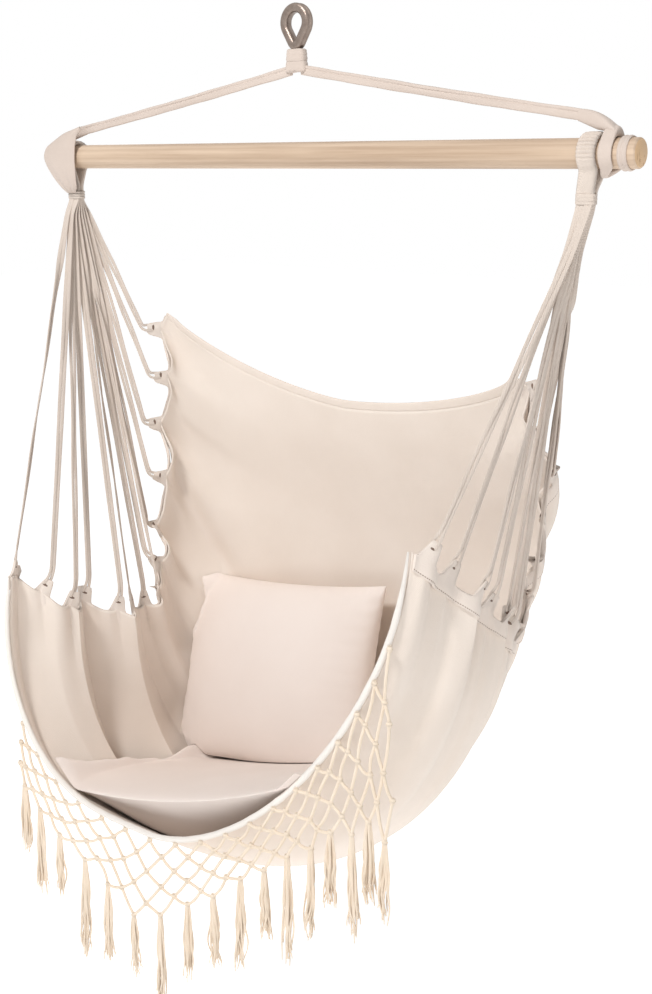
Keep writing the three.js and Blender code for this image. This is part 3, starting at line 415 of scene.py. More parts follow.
outer_edge, inner_edge = (evenly(edge, 60, passes=5) for edge in (KITE_OUTER, KITE_INNER))
share = np.linspace(0, 1, 22)[:, None]
across = outer_edge[:, None] * (1 - share) + inner_edge[:, None] * share
height = (across[..., 1] - BAR_Z) / KITE_HALF_HEIGHT
crown = KITE_FLAT + KITE_ROUND * np.sin(np.pi * (0.2 + 0.8 * share[:, 0]))
crease = KITE_CREASE * np.sin(share[:, 0] * 15 + 3 * height) * np.clip(-1.6 * height - 0.2, 0, 1)
front = -KITE_REACH * np.sqrt(1 - height**2) * crown + crease
middle = np.stack([across[..., 0], front, across[..., 1]], -1)
out = outward_of(middle)
thick = KITE_HALF_THICK * np.sqrt(1 - (2 * share - 1) ** 8 * 0.7)
kite = np.concatenate([middle + out * thick, (middle - out * thick)[:, ::-1]], 1)
cover = piece("left_sling_cover", [kite], webbing, None, "canvas", sharp=70)
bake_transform(cover)

# Spreader bar: a turned rod of pale pine with long straight grain, its ends lightly chamfered.
# The cut ends show the growth rings and a few drying cracks.
BAR_HALF_LENGTH, BAR_RADIUS = 0.49, 0.017
BAR_END = np.array([[0, 0.0169], [0, 0.0022], [0.0006, 0.0011], [0.0022, 0]])  # in from end and side
RING_PITCH, RING_WOBBLE = 0.0021, 0.004
END_GRAIN_DEPTH = 0.0004

pine, place, _ = new_material("pine", {"Roughness": 0.5})
grain = place.noise(3.2, 75, 75, detail=6, roughness=0.6)
streak = place.noise(1.6, 210, 210, detail=3)
broad = place.noise(1.2, 16, 16)
tone = (grain * 0.5 + streak * 0.4 + broad * 0.5 - 0.7) * 2.4 + 0.55
long_grain = tone.paint((158, 131, 106), (222, 199, 175))
rise = place.side(2) - BAR_Z
girth = (place.side(1) * place.side(1) + rise * rise).math("SQRT")
wobble = place.noise(60) * RING_WOBBLE
rings = (girth + wobble).wave(RING_PITCH) * 0.5 + 0.5
split = place.noise(40, 320, 90, detail=2).math("GREATER_THAN", 0.64)
end_grain = (rings * 0.45 + split * 0.5).paint((226, 192, 150), (158, 116, 78))
at_end = place.side(0).math("ABSOLUTE").math("GREATER_THAN", BAR_HALF_LENGTH - END_GRAIN_DEPTH)
at_end.paint(long_grain, end_grain).feed("Base Color")
(grain * 0.6 + streak * 0.4).relief(depth=0.0004).feed("Normal")

outline = [BAR_HALF_LENGTH, BAR_RADIUS] - BAR_END
places = np.linspace(-1, 1, 60)[1:-1, None] * [outline[-1, 0], 0] + [0, BAR_RADIUS]
outline = np.concatenate([outline, places[::-1], outline[::-1] * [-1, 1]])
around = np.linspace(0, 2 * np.pi, 97)[:-1]
rod = about_bar(outline[:, :1], outline[:, 1:], around)
piece("pine_rod", [rod], pine, "bar", "pine", "spreader_bar", sharp=30)

# Stop wraps: two turns of webbing round the bar outside each sling. The left one is closed over
# the bar's tip.
STOP_X, STOP_WIDTH = 0.4693, 0.011
STOP_INNER, STOP_OUTER, STOP_VALLEY = 0.0172, 0.0196, 0.0011
TIP_X, TIP_FALL, TIP_INNER = 0.4922, 0.5, 0.0001
share = np.linspace(0, 1, 25)
for name, sign, x, ridge, inner in (
    ("left", -1, STOP_X + (TIP_X - STOP_X) * np.sin(share * np.pi / 2),
     STOP_OUTER * np.sqrt(1 - TIP_FALL * share**4), TIP_INNER),
    ("right", 1, STOP_X + STOP_WIDTH * share,
     STOP_OUTER - STOP_VALLEY * np.abs(np.cos(2 * np.pi * share)) ** 3, STOP_INNER),
):
    x, radius = np.pad(x, 1, mode="edge"), np.concatenate([[STOP_INNER], ridge, [inner]])
    wrap = about_bar(sign * x[:, None], radius[:, None], around)
    closed = inner < STOP_INNER
    piece(f"{name}_stop_binding", [wrap], webbing, "bar", "canvas", f"{name}_stop_wrap",
          run=not closed, ends=closed)

# Cord loops: each side's cords are bound into one flat loop of cotton that goes over the bar.
# Turns of cord are wound round its upper part, and a whipping holds the tail under the bar.
LOOP_X, TAIL_X = {"left": -0.44, "right": 0.4325}, {"left": -0.44, "right": 0.4255}
LOOP_HALF_WIDTH, LOOP_HALF_THICK = 0.0115, 0.0028
LOOP_RADIUS, LOOP_ANGLE = 0.0205, 2.55  # its centre line over the bar, to either side of the top
LOOP_CLOSE_Z, TAIL_FOOT_Z = -0.22, -0.234
TAIL_HALF_DEPTH = 0.006
RIB_PITCH, RIB_DEPTH, RIB_BELOW, RIB_FADE = 0.0043, 0.0019, 0.01, 0.006
WHIP_TOP_Z, WHIP_TURNS, WHIP_LEAST = -0.222, 3, 0.0004
WHIP_EXTRA = {"left": 0.0019, "right": 0.0005}
WHIP_DROP = {"left": 0.006, "right": 0.0}  # the left one sits a little lower on its tail
CORD_LAY = 0.0021  # from one strand of a cord's twist to the next

cotton, place, flat = new_material("twisted_cotton", {"Roughness": 0.95, "Sheen Weight": 0.2})
lay = (flat.side(0) + flat.side(1) * 0.6).wave(CORD_LAY)
fluff = place.noise(400, detail=5)
tone = place.noise(14) * 0.7 + fluff * 0.25
tone.paint((196, 182, 170), (231, 218, 207)).feed("Base Color")
(lay * 0.3 + fluff).relief(depth=0.0005).feed("Normal")

for name, sign in SIDES:
    angle = np.linspace(-LOOP_ANGLE, LOOP_ANGLE, 60)
    over = about_bar(LOOP_X[name], LOOP_RADIUS, angle)
    legs = np.array([[TAIL_X[name], TAIL_HALF_DEPTH / 2, z]
                     for z in (LOOP_CLOSE_Z, TAIL_FOOT_Z - WHIP_DROP[name])])
    path = evenly(np.concatenate([legs[::-1], over, legs * [1, -1, 1]]), 170, passes=14)
    way = unit(np.gradient(path, axis=0))
    out = np.cross(way, X_AXIS)
    wound = np.clip((path[:, 2] - BAR_Z + RIB_BELOW) / RIB_FADE, 0, 1)
    turns = np.abs(np.sin(np.pi * run_of(path) / RIB_PITCH)) - 0.5
    rib = 1 + wound * RIB_DEPTH / LOOP_HALF_THICK * turns
    width = LOOP_HALF_WIDTH * (1 + 0.03 * (rib - 1))
    grid = loft(path, X_AXIS, out, width, LOOP_HALF_THICK * rib)
    piece(f"{name}_cord_loop", [grid], cotton, "seat", "cotton_cord", f"{name}_cord_eye")

    share = np.linspace(0, 1, 40)
    turns = np.abs(np.sin(share * WHIP_TURNS * np.pi)) ** 0.7
    height = WHIP_TOP_Z - WHIP_DROP[name] + (TAIL_FOOT_Z - WHIP_TOP_Z) * share
    centre = np.stack([TAIL_X[name] + 0 * share, 0 * share, height], -1)
    more = WHIP_LEAST + WHIP_EXTRA[name] * (0.35 + 0.65 * turns)
    grid = loft(centre, X_AXIS, Y_AXIS, LOOP_HALF_WIDTH + more, TAIL_HALF_DEPTH + more)
    piece(f"{name}_cord_serving", [grid], cotton, "seat", "cotton_cord", f"{name}_whipping")

# The cloth's shape: one rectangle of canvas whose front and rear edges are hemmed and whose side
# edges are drawn up by the cords. It hangs in folds between them that fade towards its middle.
HALF_WIDTH, LENGTH, DROP = 0.35, 0.5, 0.9
# From the front hem to the back hem: X, Y and fall as shares of the three sizes above
RIGHT_EDGE = np.array([
    [0.949, -0.38, 0.482], [1.006, -0.2, 0.562], [1.01, -0.06, 0.623], [0.97, 0.04, 0.663],
    [1.002, 0.09, 0.566], [1.037, 0.1, 0.423], [0.903, 0.1, 0.3]])
LEFT_EDGE = np.array([
    [-0.857, -0.552, 0.627], [-0.831, -0.38, 0.692], [-0.794, -0.19, 0.73], [-0.803, -0.03, 0.743],
    [-0.849, 0.03, 0.638], [-0.869, 0.08, 0.439], [-0.889, 0.1, 0.256]])
MIDDLE = np.array([
    [-0.171, -0.494, 1.0], [-0.14, -0.26, 1.083], [-0.1, -0.02, 1.122], [-0.05, 0.18, 1.056],
    [-0.02, 0.3, 0.878], [0, 0.32, 0.622], [0, 0.216, 0.391]])
# How square each side's oval is from front to back, and how far the left one swells beyond it
LEFT_SQUARE = np.array([4, 4.2, 4, 3.4, 2.6, 2.0, 1.52])
RIGHT_SQUARE = np.array([1.7, 1.96, 1.78, 1.41, 1.61, 2.26, 1.65])
LEFT_BULGE = 0.09
CORDS, ROWS_PER_CORD, CLOTH_ROWS = 14, 3, 41
FOLDS, FOLD_DEPTH, FOLD_SQUARENESS = 7, 0.007, 1.7
SCALLOP_DEPTH, EDGE_PUCKER_DEPTH = 0.009, 0.0019
# Box pleats in the left side towards the front: row, and depth into the bowl as a share
PLEATS = np.array([[0, -0.3], [1.5, -0.75], [4.9, 0.75], [7.7, 1.0],
                   [9.6, -0.95], [14.2, 1.05], [17.4, -0.8], [21, 0]])
PLEAT_DEPTH, PLEAT_GONE_ROW, PLEAT_FADE_ROWS = 0.022, 24, 5
PLEAT_START, PLEAT_RISE = 0.5, 0.35  # radians up from the lowest line, and on to their full
# A slack crease runs into the back from between two of the left cords: its rows at two angles up
# from the lowest line, and the angles where it starts, and over which it deepens and ends
CREASE_ROWS, CREASE_ANGLES, CREASE_DEPTH, CREASE_WIDTH = (29.2, 33.0), (0.72, 1.57), 0.013, 0.95
CREASE_START, CREASE_RISE, CREASE_END = 0.62, 0.3, 0.12
CLOTH_STEPS_ALONG, CLOTH_STEPS_ACROSS = 247, 192


def step_of(table, along):
    """The last entry of a table before each share of its run, and how far on from it that lies"""
    spot = np.clip(along, 0, 1) * (len(table) - 1)
    i = np.minimum(spot.astype(int), len(table) - 2)
    return i, spot - i


def through(table, along):
    """The centripetal Catmull-Rom curve through a table's points, at shares of its run"""
    points = table * [HALF_WIDTH, LENGTH, -DROP] + [0, 0, BAR_Z]
    points = np.concatenate([[2 * points[0] - points[1]], points, [2 * points[-1] - points[-2]]])
    i, w = step_of(table, along)
    w = w[..., None]
    a, b, c, d = (points[i + k] for k in range(4))
    ab, bc, cd = (np.linalg.norm(q - p, axis=-1, keepdims=True) ** 0.5
                  for p, q in ((a, b), (b, c), (c, d)))
    leave = ((b - a) / ab - (c - a) / (ab + bc) + (c - b) / bc) * bc
    arrive = ((c - b) / bc - (d - b) / (bc + cd) + (d - c) / cd) * bc
    square, cube = 3 * (c - b) - 2 * leave - arrive, 2 * (b - c) + leave + arrive
    return b + leave * w + square * w**2 + cube * w**3


def eased(table, along):
    """A table's value at shares of its run, each step being a smooth one"""
    i, w = step_of(table, along)
    return table[i] + (table[i + 1] - table[i]) * smooth(w)


def smooth_cloth(along, angle):
    """The cloth without folds: along it from front to back, the angle from the left edge at -90
    degrees through its lowest line to the right edge. Each cross-section is part of an oval."""
    right = (angle > 0)[..., None]
    edge = np.where(right, through(RIGHT_EDGE, along), through(LEFT_EDGE, along))
    low = through(MIDDLE, along)
    square = np.where(right[..., 0], eased(RIGHT_SQUARE, along), eased(LEFT_SQUARE, along))
    s, c = np.abs(np.sin(angle)), np.abs(np.cos(angle))
    reach = (s**square + c**square) ** (-1 / square)
    swell = np.where(right[..., 0], 0, LEFT_BULGE * np.sin(np.pi * c * reach) * (1 - np.clip(along, 0, 1)))
    lateral, sag = (s * reach * (1 + swell))[..., None], (c * reach)[..., None]
    return np.concatenate([low[..., :1] + lateral * (edge - low)[..., :1],
                           edge[..., 1:] + sag * (low - edge)[..., 1:]], -1)


def scallop(row):
    """How far the side edge dips at a row, from 0 at each cord to 1 half way to the next"""
    gap = (row - 1) % ROWS_PER_CORD / ROWS_PER_CORD
    return 1 - np.abs(2 * gap - 1) ** 2.2


def hung_cloth(rows, angles, dip=SCALLOP_DEPTH):
    """The hung cloth, a wave of folds along the smooth one's normals with scalloped edges, then its
    own outward normals and the same two for the smooth cloth"""
    row, angle = np.meshgrid(rows, angles, indexing="ij")
    along = row / CLOTH_ROWS
    plain = smooth_cloth(along, angle)
    out = outward_of(plain)
    edge = np.abs(np.sin(angle))
    start = smooth(np.clip(row / 2, 0, 1))
    wave = np.cos(2 * np.pi * FOLDS * (row - 1) / (CLOTH_ROWS - 2))
    wave = np.tanh(FOLD_SQUARENESS * wave) / np.tanh(FOLD_SQUARENESS)
    pucker = np.cos(2 * np.pi * (row - 1) / ROWS_PER_CORD)
    left_front = np.clip((PLEAT_GONE_ROW - row) / PLEAT_FADE_ROWS, 0, 1) * (angle < 0)
    reach = smooth(np.clip((np.abs(angle) - PLEAT_START) / PLEAT_RISE, 0, 1))
    pleat = -PLEAT_DEPTH * np.interp(row, PLEATS[:, 0], PLEATS[:, 1]) * reach
    line = np.interp(-angle, CREASE_ANGLES, CREASE_ROWS)
    fade = (np.clip((-angle - CREASE_START) / CREASE_RISE, 0, 1) ** 2
            * np.clip((CREASE_ANGLES[1] + angle) / CREASE_END, 0, 1))
    crease = CREASE_DEPTH * fade * np.exp(-(((row - line) / CREASE_WIDTH) ** 2))
    deep = FOLD_DEPTH * edge**4 * wave * (1 - left_front) + pleat * left_front
    deep = deep + EDGE_PUCKER_DEPTH * edge**12 * pucker + crease
    cloth = plain + out * (deep * start)[..., None]
    towards = unit(smooth_cloth(along, 0 * angle) - cloth + 1e-9)
    cloth = cloth + towards * (dip * scallop(row) * edge**60)[..., None]
    return cloth, outward_of(cloth), plain, out


cloth_rows = np.linspace(0, CLOTH_ROWS, CLOTH_STEPS_ALONG)
cloth_angles = np.linspace(-np.pi / 2, np.pi / 2, CLOTH_STEPS_ACROSS + 1)
cloth, cloth_out, plain_cloth, plain_out = hung_cloth(cloth_rows, cloth_angles)

# Seat canvas: undyed cotton duck, about 2 mm thick with its weave, plain and unlined.
# It hangs from the webbing along its side edges.
CANVAS_THICKNESS = 0.0022
canvas = woven("cotton_canvas", (240, 229, 219), (222, 208, 195))
seat_canvas = piece("canvas_seat", [cloth], canvas, "seat", "canvas", "seat_canvas",
                    ring=False, ends=False)
thicken = seat_canvas.modifiers.new("thickness", "SOLIDIFY")
thicken.thickness = CANVAS_THICKNESS
thicken.offset = 0

# Side bands: along each side edge the canvas is doubled and stitched into a band. It stands up as
# a tab at each cord with a slot in it, whose shade is painted as a dark bead, and is cut in a scoop
# between the tabs.
BAND_WIDTH, BAND_HALF_THICK = 0.027, 0.0021
BAND_FOOT_THIN, BAND_TOP_THIN = (0.0013, 0.0015, 0.0018), 0.0013  # half thicknesses near its two edges
TAB_HEIGHT, TAB_HALF_TOP, TAB_HALF_FOOT = 0.019, 0.0052, 0.0135
BAND_LEAST = 0.0012  # how far the band stands above the canvas between tabs
SLOT_HEIGHT, SLOT_HALF = 0.0098, (0.0029, 0.0021, 0.0048)  # half its depth, height and length
STITCH_INSET, STITCH_LENGTH, STITCH_HALF_WIDTH = 0.0028, 0.0034, 0.00055
CORD_HEAD_STAGGER = 0.005
CORD_HEAD_SPAN, CORD_HEAD_Z = {"left": 0.034, "right": 0.021}, {"left": -0.2583, "right": -0.287}
CORD_HEAD_LEAN = {"left": 0.0, "right": -0.013}  # along the bar

banded, place, flat = new_material("stitched_band", {"Roughness": 0.92, "Sheen Weight": 0.15})
weave = flat.side(0).wave(2 * WEAVE) * flat.side(1).wave(2 * WEAVE)
at_line = (flat.side(0) - STITCH_INSET).math("ABSOLUTE").math("LESS_THAN", STITCH_HALF_WIDTH)
stitch = at_line * flat.side(1).wave(STITCH_LENGTH).math("GREATER_THAN", -0.45)
ground = (place.noise(9, detail=5) * 0.9).paint((222, 208, 196), (239, 228, 219))
stitch.paint(ground, (158, 136, 120)).feed("Base Color")
height = weave * 0.25 + flat.noise(300, 300, 0) * 0.5 - at_line * 0.8
height.relief(depth=0.0004).feed("Normal")

# Painted shade: the dark colour of the beads that fill each tab's slot stands for the shadow inside it
painted_slot_shade, place, _ = new_material("painted_slot_shade", {"Roughness": 0.95})
place.noise(300).paint((96, 78, 68), (134, 112, 98)).feed("Base Color")


def square_to(vectors, others):
    """The directions once what they have in common with other unit vectors is taken out"""
    return unit(vectors - (vectors * others).sum(1, keepdims=True) * others)


def bead(middle, ways, halves, count, reach, waves=0.0):
    """An ellipsoid as one grid, cut off at a reach of its last way. Its three ways each have a half
    size, and its girth may have waves, as a share of itself."""
    rise = np.linspace(-reach, reach, 9)
    girth = np.sqrt(1 - rise**2) * (1 + waves * np.cos(rise * 9))
    centre = middle + ways[2] * (halves[2] * rise)[:, None]
    return loft(centre, ways[0], ways[1], halves[0] * girth, halves[1] * girth, ROUND, count)


cord_ends = {}
for name, sign in SIDES:
    order = slice(None, None, sign)
    rows = np.linspace(0, CLOTH_ROWS, CLOTH_ROWS * 10 + 1)
    angles = sign * np.linspace(np.pi / 2 - 0.36, np.pi / 2, 46)
    near, near_out = (values[:, order] for values in hung_cloth(rows, angles[order], dip=0)[:2])
    foot, normal = near[:, -1], near_out[:, -1]
    along = np.gradient(foot, axis=0)
    pitch = np.linalg.norm(along, axis=1) / (rows[1] - rows[0])
    along = unit(along)
    tail = np.array([TAIL_X[name], 0, CORD_HEAD_Z[name]])
    up = square_to(unit(tail - foot) + unit(foot - near[:, 20]), along)
    # How far along the cloth each point of the fine grid lies from the edge
    inward = run_of(near[:, ::-1], 1)
    dip = SCALLOP_DEPTH * scallop(rows)
    depth = np.linspace(1, 0, 9)
    skirt, skirt_out = (np.stack([
        between(dip[i] + (BAND_WIDTH - dip[i]) * depth, inward[i], values[i, ::-1])
        for i in range(len(rows))]) for values in (near, near_out))
    skirt_out = unit(skirt_out)
    tab_rows = 1 + ROWS_PER_CORD * np.arange(CORDS)
    beside = np.abs(rows[:, None] - tab_rows).min(1) * pitch
    bump = np.clip((TAB_HALF_FOOT - beside) / (TAB_HALF_FOOT - TAB_HALF_TOP), 0, 1)
    height = BAND_LEAST + (TAB_HEIGHT - BAND_LEAST) * smooth(bump)
    face = np.cross(along, up)
    face = unit(face * np.sign((face * normal).sum(1, keepdims=True)))
    steps = np.linspace(0, 1, 9)[1:]
    tab = skirt[:, -1:] + (up * (height + dip * bump)[:, None])[:, None] * steps[:, None]
    tab_out = unit(skirt_out[:, -1:] * (1 - steps[:, None]) + face[:, None] * steps[:, None])
    sheet, lift = np.concatenate([skirt, tab], 1), np.concatenate([skirt_out, tab_out], 1)
    thick = np.full(sheet.shape[1], BAND_HALF_THICK)
    thick[:3], thick[-1] = BAND_FOOT_THIN, BAND_TOP_THIN
    outer, inner = sheet + lift * thick[:, None], sheet - lift * thick[:, None]
    band = np.concatenate([outer, inner[:, ::-1]], 1)
    piece(f"{name}_edge_band", [band], banded, "seat", "canvas", f"{name}_edge_tape", sharp=70)
    at = tab_rows * 10
    cord_ends[name] = foot[at], along[at], up[at], face[at]
    # A dark bead in each slot: painted shade where the cord goes into the tab
    slots = [bead(place_at + upward * SLOT_HEIGHT, (outside, upward, way), SLOT_HALF, 14, 0.98)
             for place_at, way, upward, outside in zip(*cord_ends[name])]
    piece(f"{name}_tab_slot_shades", slots, painted_slot_shade, "seat", "canvas")

# Cords: each is one twisted cotton cord that comes out of the whipping, goes through the slot in
# its tab and back up again, so that it shows as two strands lying side by side like a flat ribbon.
STRAND_HALF_WIDTHS, STRAND_HALF_DEPTH, STRAND_APART = (0.003, 0.0021), 0.0013, 0.98
STRAND_POINTS, STRAND_SQUARE, STRAND_SLACK = 110, 2.4, 0.0011
# In the whipping: apart along the bar and from front to back, how far in, and how far straight
ROOT_STAGGER, ROOT_SPAN, ROOT_INSIDE, ROOT_STRAIGHT = 0.0052, 0.009, 0.002, 0.004
CORD_MEETS_TAB = 0.008  # above the tab, where the two strands part
# Over the slot and in it: height above it, then out from the tab's middle and along the edge
STRAND_ENDS = ((0.006, 0.0037, 0.0036), (0, 0.0012, 0.003))
for name, sign in SIDES:
    strands = []
    for k, (foot, way, upward, outside) in enumerate(zip(*cord_ends[name])):
        share = k / (CORDS - 1) - 0.5
        stagger = sign * (-1) ** k
        root = np.array([TAIL_X[name] + stagger * ROOT_STAGGER, ROOT_SPAN * share,
                         TAIL_FOOT_Z - WHIP_DROP[name] + ROOT_INSIDE])
        head = np.array([TAIL_X[name] + CORD_HEAD_LEAN[name] + stagger * CORD_HEAD_STAGGER / 2,
                         CORD_HEAD_SPAN[name] * share, CORD_HEAD_Z[name]])
        top = foot + upward * (TAB_HEIGHT + CORD_MEETS_TAB)
        for q in (-1, 1):
            over, end = (foot + upward * (SLOT_HEIGHT + above) + outside * q * apart + way * q * along
                         for above, apart, along in STRAND_ENDS)
            path = np.array([root, root - [0, 0, ROOT_STRAIGHT], head, top, over, end])
            path = evenly(path, STRAND_POINTS, passes=5)
            run = np.linspace(0, 1, STRAND_POINTS)[:, None]
            route = unit(np.gradient(path, axis=0))
            turn = smooth(np.clip(run / 0.4, 0, 1))
            flat_way = way * np.sign(way @ [sign * 0.3, 1, 0])
            side = square_to(np.array([1, 0.001, 0]) * (1 - turn) + flat_way * turn, route)
            tight = np.clip((1 - run) / 0.05, 0, 1) * (0.8 + 0.2 * turn)
            slack = STRAND_SLACK * np.sin(run * 17 + 3 * k + q) * np.sin(np.pi * run)
            lean = np.cross(route, side)
            width = np.interp(run, (0, 1), STRAND_HALF_WIDTHS)
            centre = path + side * (q * STRAND_APART * width * tight) + lean * slack
            strands.append(loft(centre, side, lean, width, STRAND_HALF_DEPTH, STRAND_SQUARE, 10))
    stands_for = [f"{name}_cord_{k + 1:02d}" for k in range(CORDS)]
    piece(f"{name}_cord_fan", strands, cotton, "seat", "cotton_cord", f"{name}_cord_bundle", *stands_for)

# Hems: the front edge is rolled round a cord into a firm rope hem, the back edge is folded twice
# and stitched flat.
HEM_RADIUS, HEM_REACH = 0.0042, 0.0048
HEM_TAPER, HEM_END = 11, 0.3  # points over which each end tapers, and to what share
HEM_RIPPLE = 0.05
BACK_HEM_HALF_WIDTH, BACK_HEM_HALF_THICK = 0.0062, 0.0015
point = np.arange(len(cloth_angles))
taper = np.minimum(HEM_END + (1 - HEM_END) * np.minimum(point, point[::-1]) / HEM_TAPER, 1)

hem_cotton = woven("hem_cotton", (244, 240, 234), (229, 221, 213))
front_away = square_to(unit(cloth[0] - cloth[6]), cloth_out[0])
front_hem = cloth[0] + front_away * HEM_REACH
thick = HEM_RADIUS * (1 + HEM_RIPPLE * np.sin(point * 1.1) * np.sin(point * 0.31)) * taper
grid = loft(front_hem, front_away, cloth_out[0], thick, thick, ROUND, 20)
piece("front_rope_hem", [grid], hem_cotton, "seat", "canvas", "front_hem")

back_away = square_to(unit(cloth[-1] - cloth[-7]), cloth_out[-1])
width = BACK_HEM_HALF_WIDTH * taper
back_hem = cloth[-1] + back_away * width[:, None]
grid = loft(back_hem, back_away, cloth_out[-1], width, BACK_HEM_HALF_THICK * taper, 4, 24)
piece("back_fold_hem", [grid], canvas, "seat", "canvas", "back_hem")

# Knotted fringe: a net of soft cream cotton cord looped over the front hem, tied in diamonds that
# reach furthest down at its right-hand end. Loose hanks of yarn hang from the lowest knots.
NET_COLUMNS, NET_ROWS = 17, 5
NET_DROP, NET_FLARE, NET_STANDOFF = 0.26, 0.012, 0.0066
# Its fall from left to right as shares of the drop, and its ends as shares of the hem's length
NET_FALLS = np.array([0.3, 0.24, 0.28, 0.45, 0.32, 0.24, 0.27, 0.36, 0.55, 0.9])
NET_ENDS = (0.2, 0.9)
NET_STRAY, NET_SAG = 0.0011, 0.0015
NET_STRAND_RADIUS, KNOT_HALF = 0.0021, (0.0041, 0.0034, 0.0047)
TASSEL_LENGTH, TASSEL_RADIUS, TASSEL_SWAY, TASSEL_YARNS = 0.145, 0.0062, 0.004, 20
TASSEL_SHARES = (0.75, 0.95, 0.66, 1.05, 0.85, 0.7, 1.0, 0.8)  # of that length, by turns
YARN_RADIUS, YARN_LAY, YARN_CURLS, YARN_REACHES = 0.0017, 0.0019, (0.001, 0.0038), (0.78, 1.0)

yarn, place, flat = new_material("cream_yarn", {"Roughness": 0.97, "Sheen Weight": 0.25})
lay = (flat.side(0) + flat.side(1) * 0.7).wave(YARN_LAY)
tone = place.noise(18) * 0.8 + place.noise(500, detail=4) * 0.2
tone.paint((230, 209, 184), (250, 237, 220)).feed("Base Color")
(lay * 0.35 + place.noise(900)).relief(depth=0.0004).feed("Normal")

chance = np.random.default_rng(7)
hem_run = run_of(front_hem)


def on_hem(values, across):
    """A value carried along the front hem, at a share of the net's width from left to right"""
    share = NET_ENDS[0] + (NET_ENDS[1] - NET_ENDS[0]) * np.asarray(across)
    return between(share, hem_run / hem_run[-1], values)


def net_point(across, down):
    """A place on the net: down from the hem, and out from it by the flare"""
    across, down = np.clip(across, 0, 1), np.asarray(down)
    out = unit(on_hem(cloth_out[0], across))
    top = on_hem(front_hem, across) + out * NET_STANDOFF
    level = unit(out * [1, 1, 0])
    fall = NET_DROP * eased(NET_FALLS, across) * down
    return top + level * (NET_FLARE * down)[..., None] - Z_AXIS * fall[..., None]


knots = []
for row in range(NET_ROWS + 1):
    odd = row % 2
    count = NET_COLUMNS + 1 - odd
    across = (np.arange(count) + 0.5 * odd) / NET_COLUMNS
    stray = chance.normal(0, NET_STRAY, (count, 3)) * (0 < row)
    knots.append(net_point(across, np.full(count, row / NET_ROWS)) + stray)
parts = []
for row, line in enumerate(knots):
    for i, knot in enumerate(line):
        parts.append(bead(knot, (X_AXIS, Y_AXIS, Z_AXIS), KNOT_HALF, 10, 0.97, waves=0.1))
        for j in (i, i - 1) if row % 2 == 0 else (i, i + 1):
            if row < NET_ROWS and 0 <= j < len(knots[row + 1]):
                other = knots[row + 1][j]
                share = np.linspace(0, 1, 8)[:, None]
                bow = chance.normal(0, NET_STRAY, 3) - Z_AXIS * NET_SAG
                path = knot + (other - knot) * share + bow * np.sin(np.pi * share)
                way, radius = unit(other - knot), NET_STRAND_RADIUS
                side = unit(np.cross(way, [0.3, 1, 0.2]))
                parts.append(loft(path, side, np.cross(way, side), radius, radius, ROUND, 7))
for i, knot in enumerate(knots[NET_ROWS]):
    length = TASSEL_LENGTH * TASSEL_SHARES[i % len(TASSEL_SHARES)]
    sway = chance.normal(0, TASSEL_SWAY, 2)
    for _ in range(TASSEL_YARNS):
        spread = TASSEL_RADIUS * np.sqrt(chance.random()) * np.array([1, 0.8])
        angle, reach = 2 * np.pi * chance.random(), length * chance.uniform(*YARN_REACHES)
        phase, curl = chance.uniform(0, 6, 2), chance.uniform(*YARN_CURLS)
        share = np.linspace(0, 1, 20)[:, None]
        open_out = 0.3 + 0.7 * np.clip(share / 0.5, 0, 1) ** 0.7 * (1 + 0.35 * share)
        wander = curl * share * np.sin([9, 8] * share + phase)
        aside = spread * [np.cos(angle), np.sin(angle)] * open_out + wander + sway * share**2
        radius = YARN_RADIUS * (1 - 0.6 * share**3)
        path = knot + np.concatenate([aside, -reach * share], 1)
        parts.append(loft(path, X_AXIS, Y_AXIS, radius, radius, ROUND, 5))
piece("knotted_fringe", parts, yarn, "seat", "fringe", "fringed_net")

# Cushions: two square covers of the same canvas with knife edges, loosely stuffed. The seat pad
# lies in the bottom of the bowl, the other one leans in its back left corner.
DRAW_IN, CUSHION_STEPS = 0.07, 104
CLOTH_CLEARANCE, PAD_CLEARANCE = 0.0027, 0.0016
PUCKER_DEPTH, PUCKER_PITCH, PUCKER_START, PUCKER_REACH = 0.0013, 0.021, 0.006, 0.03
LEAST_THICKNESS, COVER_WEAVE = 0.01, 0.0009


def cushion(width, length, over, under, fullness, where):
    """A ring of points round a cushion at each step across it: an upper and a lower face, each crown
    a power of two parabolas' product, with puckers along the seam. Also how near each point may come
    to the cloth, so that a squeezed side keeps a thickness."""
    spread = np.sin(np.linspace(-np.pi / 2, np.pi / 2, CUSHION_STEPS + 1))
    p, q = np.meshgrid(spread, spread, indexing="ij")
    flat_top = np.maximum((1 - p**2) * (1 - q**2), 0)
    x = width / 2 * p * (1 - DRAW_IN * (1 - q**2) * p**2)
    y = length / 2 * q * (1 - DRAW_IN * (1 - p**2) * q**2)
    near_x, near_y = width / 2 * (1 - np.abs(p)), length / 2 * (1 - np.abs(q))
    pucker = sum(np.sin(2 * np.pi * run / PUCKER_PITCH) * np.exp(-near / PUCKER_REACH)
                 * np.minimum(near / PUCKER_START, 1) for run, near in ((x, near_y), (y, near_x)))
    faces = [np.stack([x, y, side * (reach * flat_top**full + PUCKER_DEPTH * pucker)], -1)
             for side, reach, full in ((1, over, fullness[0]), (-1, under, fullness[1]))]
    ring = np.concatenate([faces[0], faces[1][:, -2:0:-1]], 1)
    room = LEAST_THICKNESS * (1 - np.exp(-np.minimum(near_x, near_y) / LEAST_THICKNESS))
    room = np.concatenate([room, 0 * room[:, -2:0:-1]], 1)
    return ring @ np.array(where.to_3x3()).T + np.array(where.translation), CLOTH_CLEARANCE + room


def tree_of(grid, ring=False):
    """A search tree of a grid's faces"""
    rows, columns = grid.shape[:2]
    i, j = quads(rows - 1, columns if ring else columns - 1)
    return BVHTree.FromPolygons(grid.reshape(-1, 3).tolist(), (i * columns + j % columns).tolist())


def pressed(tree, point, least):
    """The way back for a point that lies outside the bowl, or nearer to its cloth than the least"""
    found, normal, _, _ = tree.find_nearest(Vector(point))
    return np.array(normal) * max(least - (Vector(point) - found).dot(normal), 0)


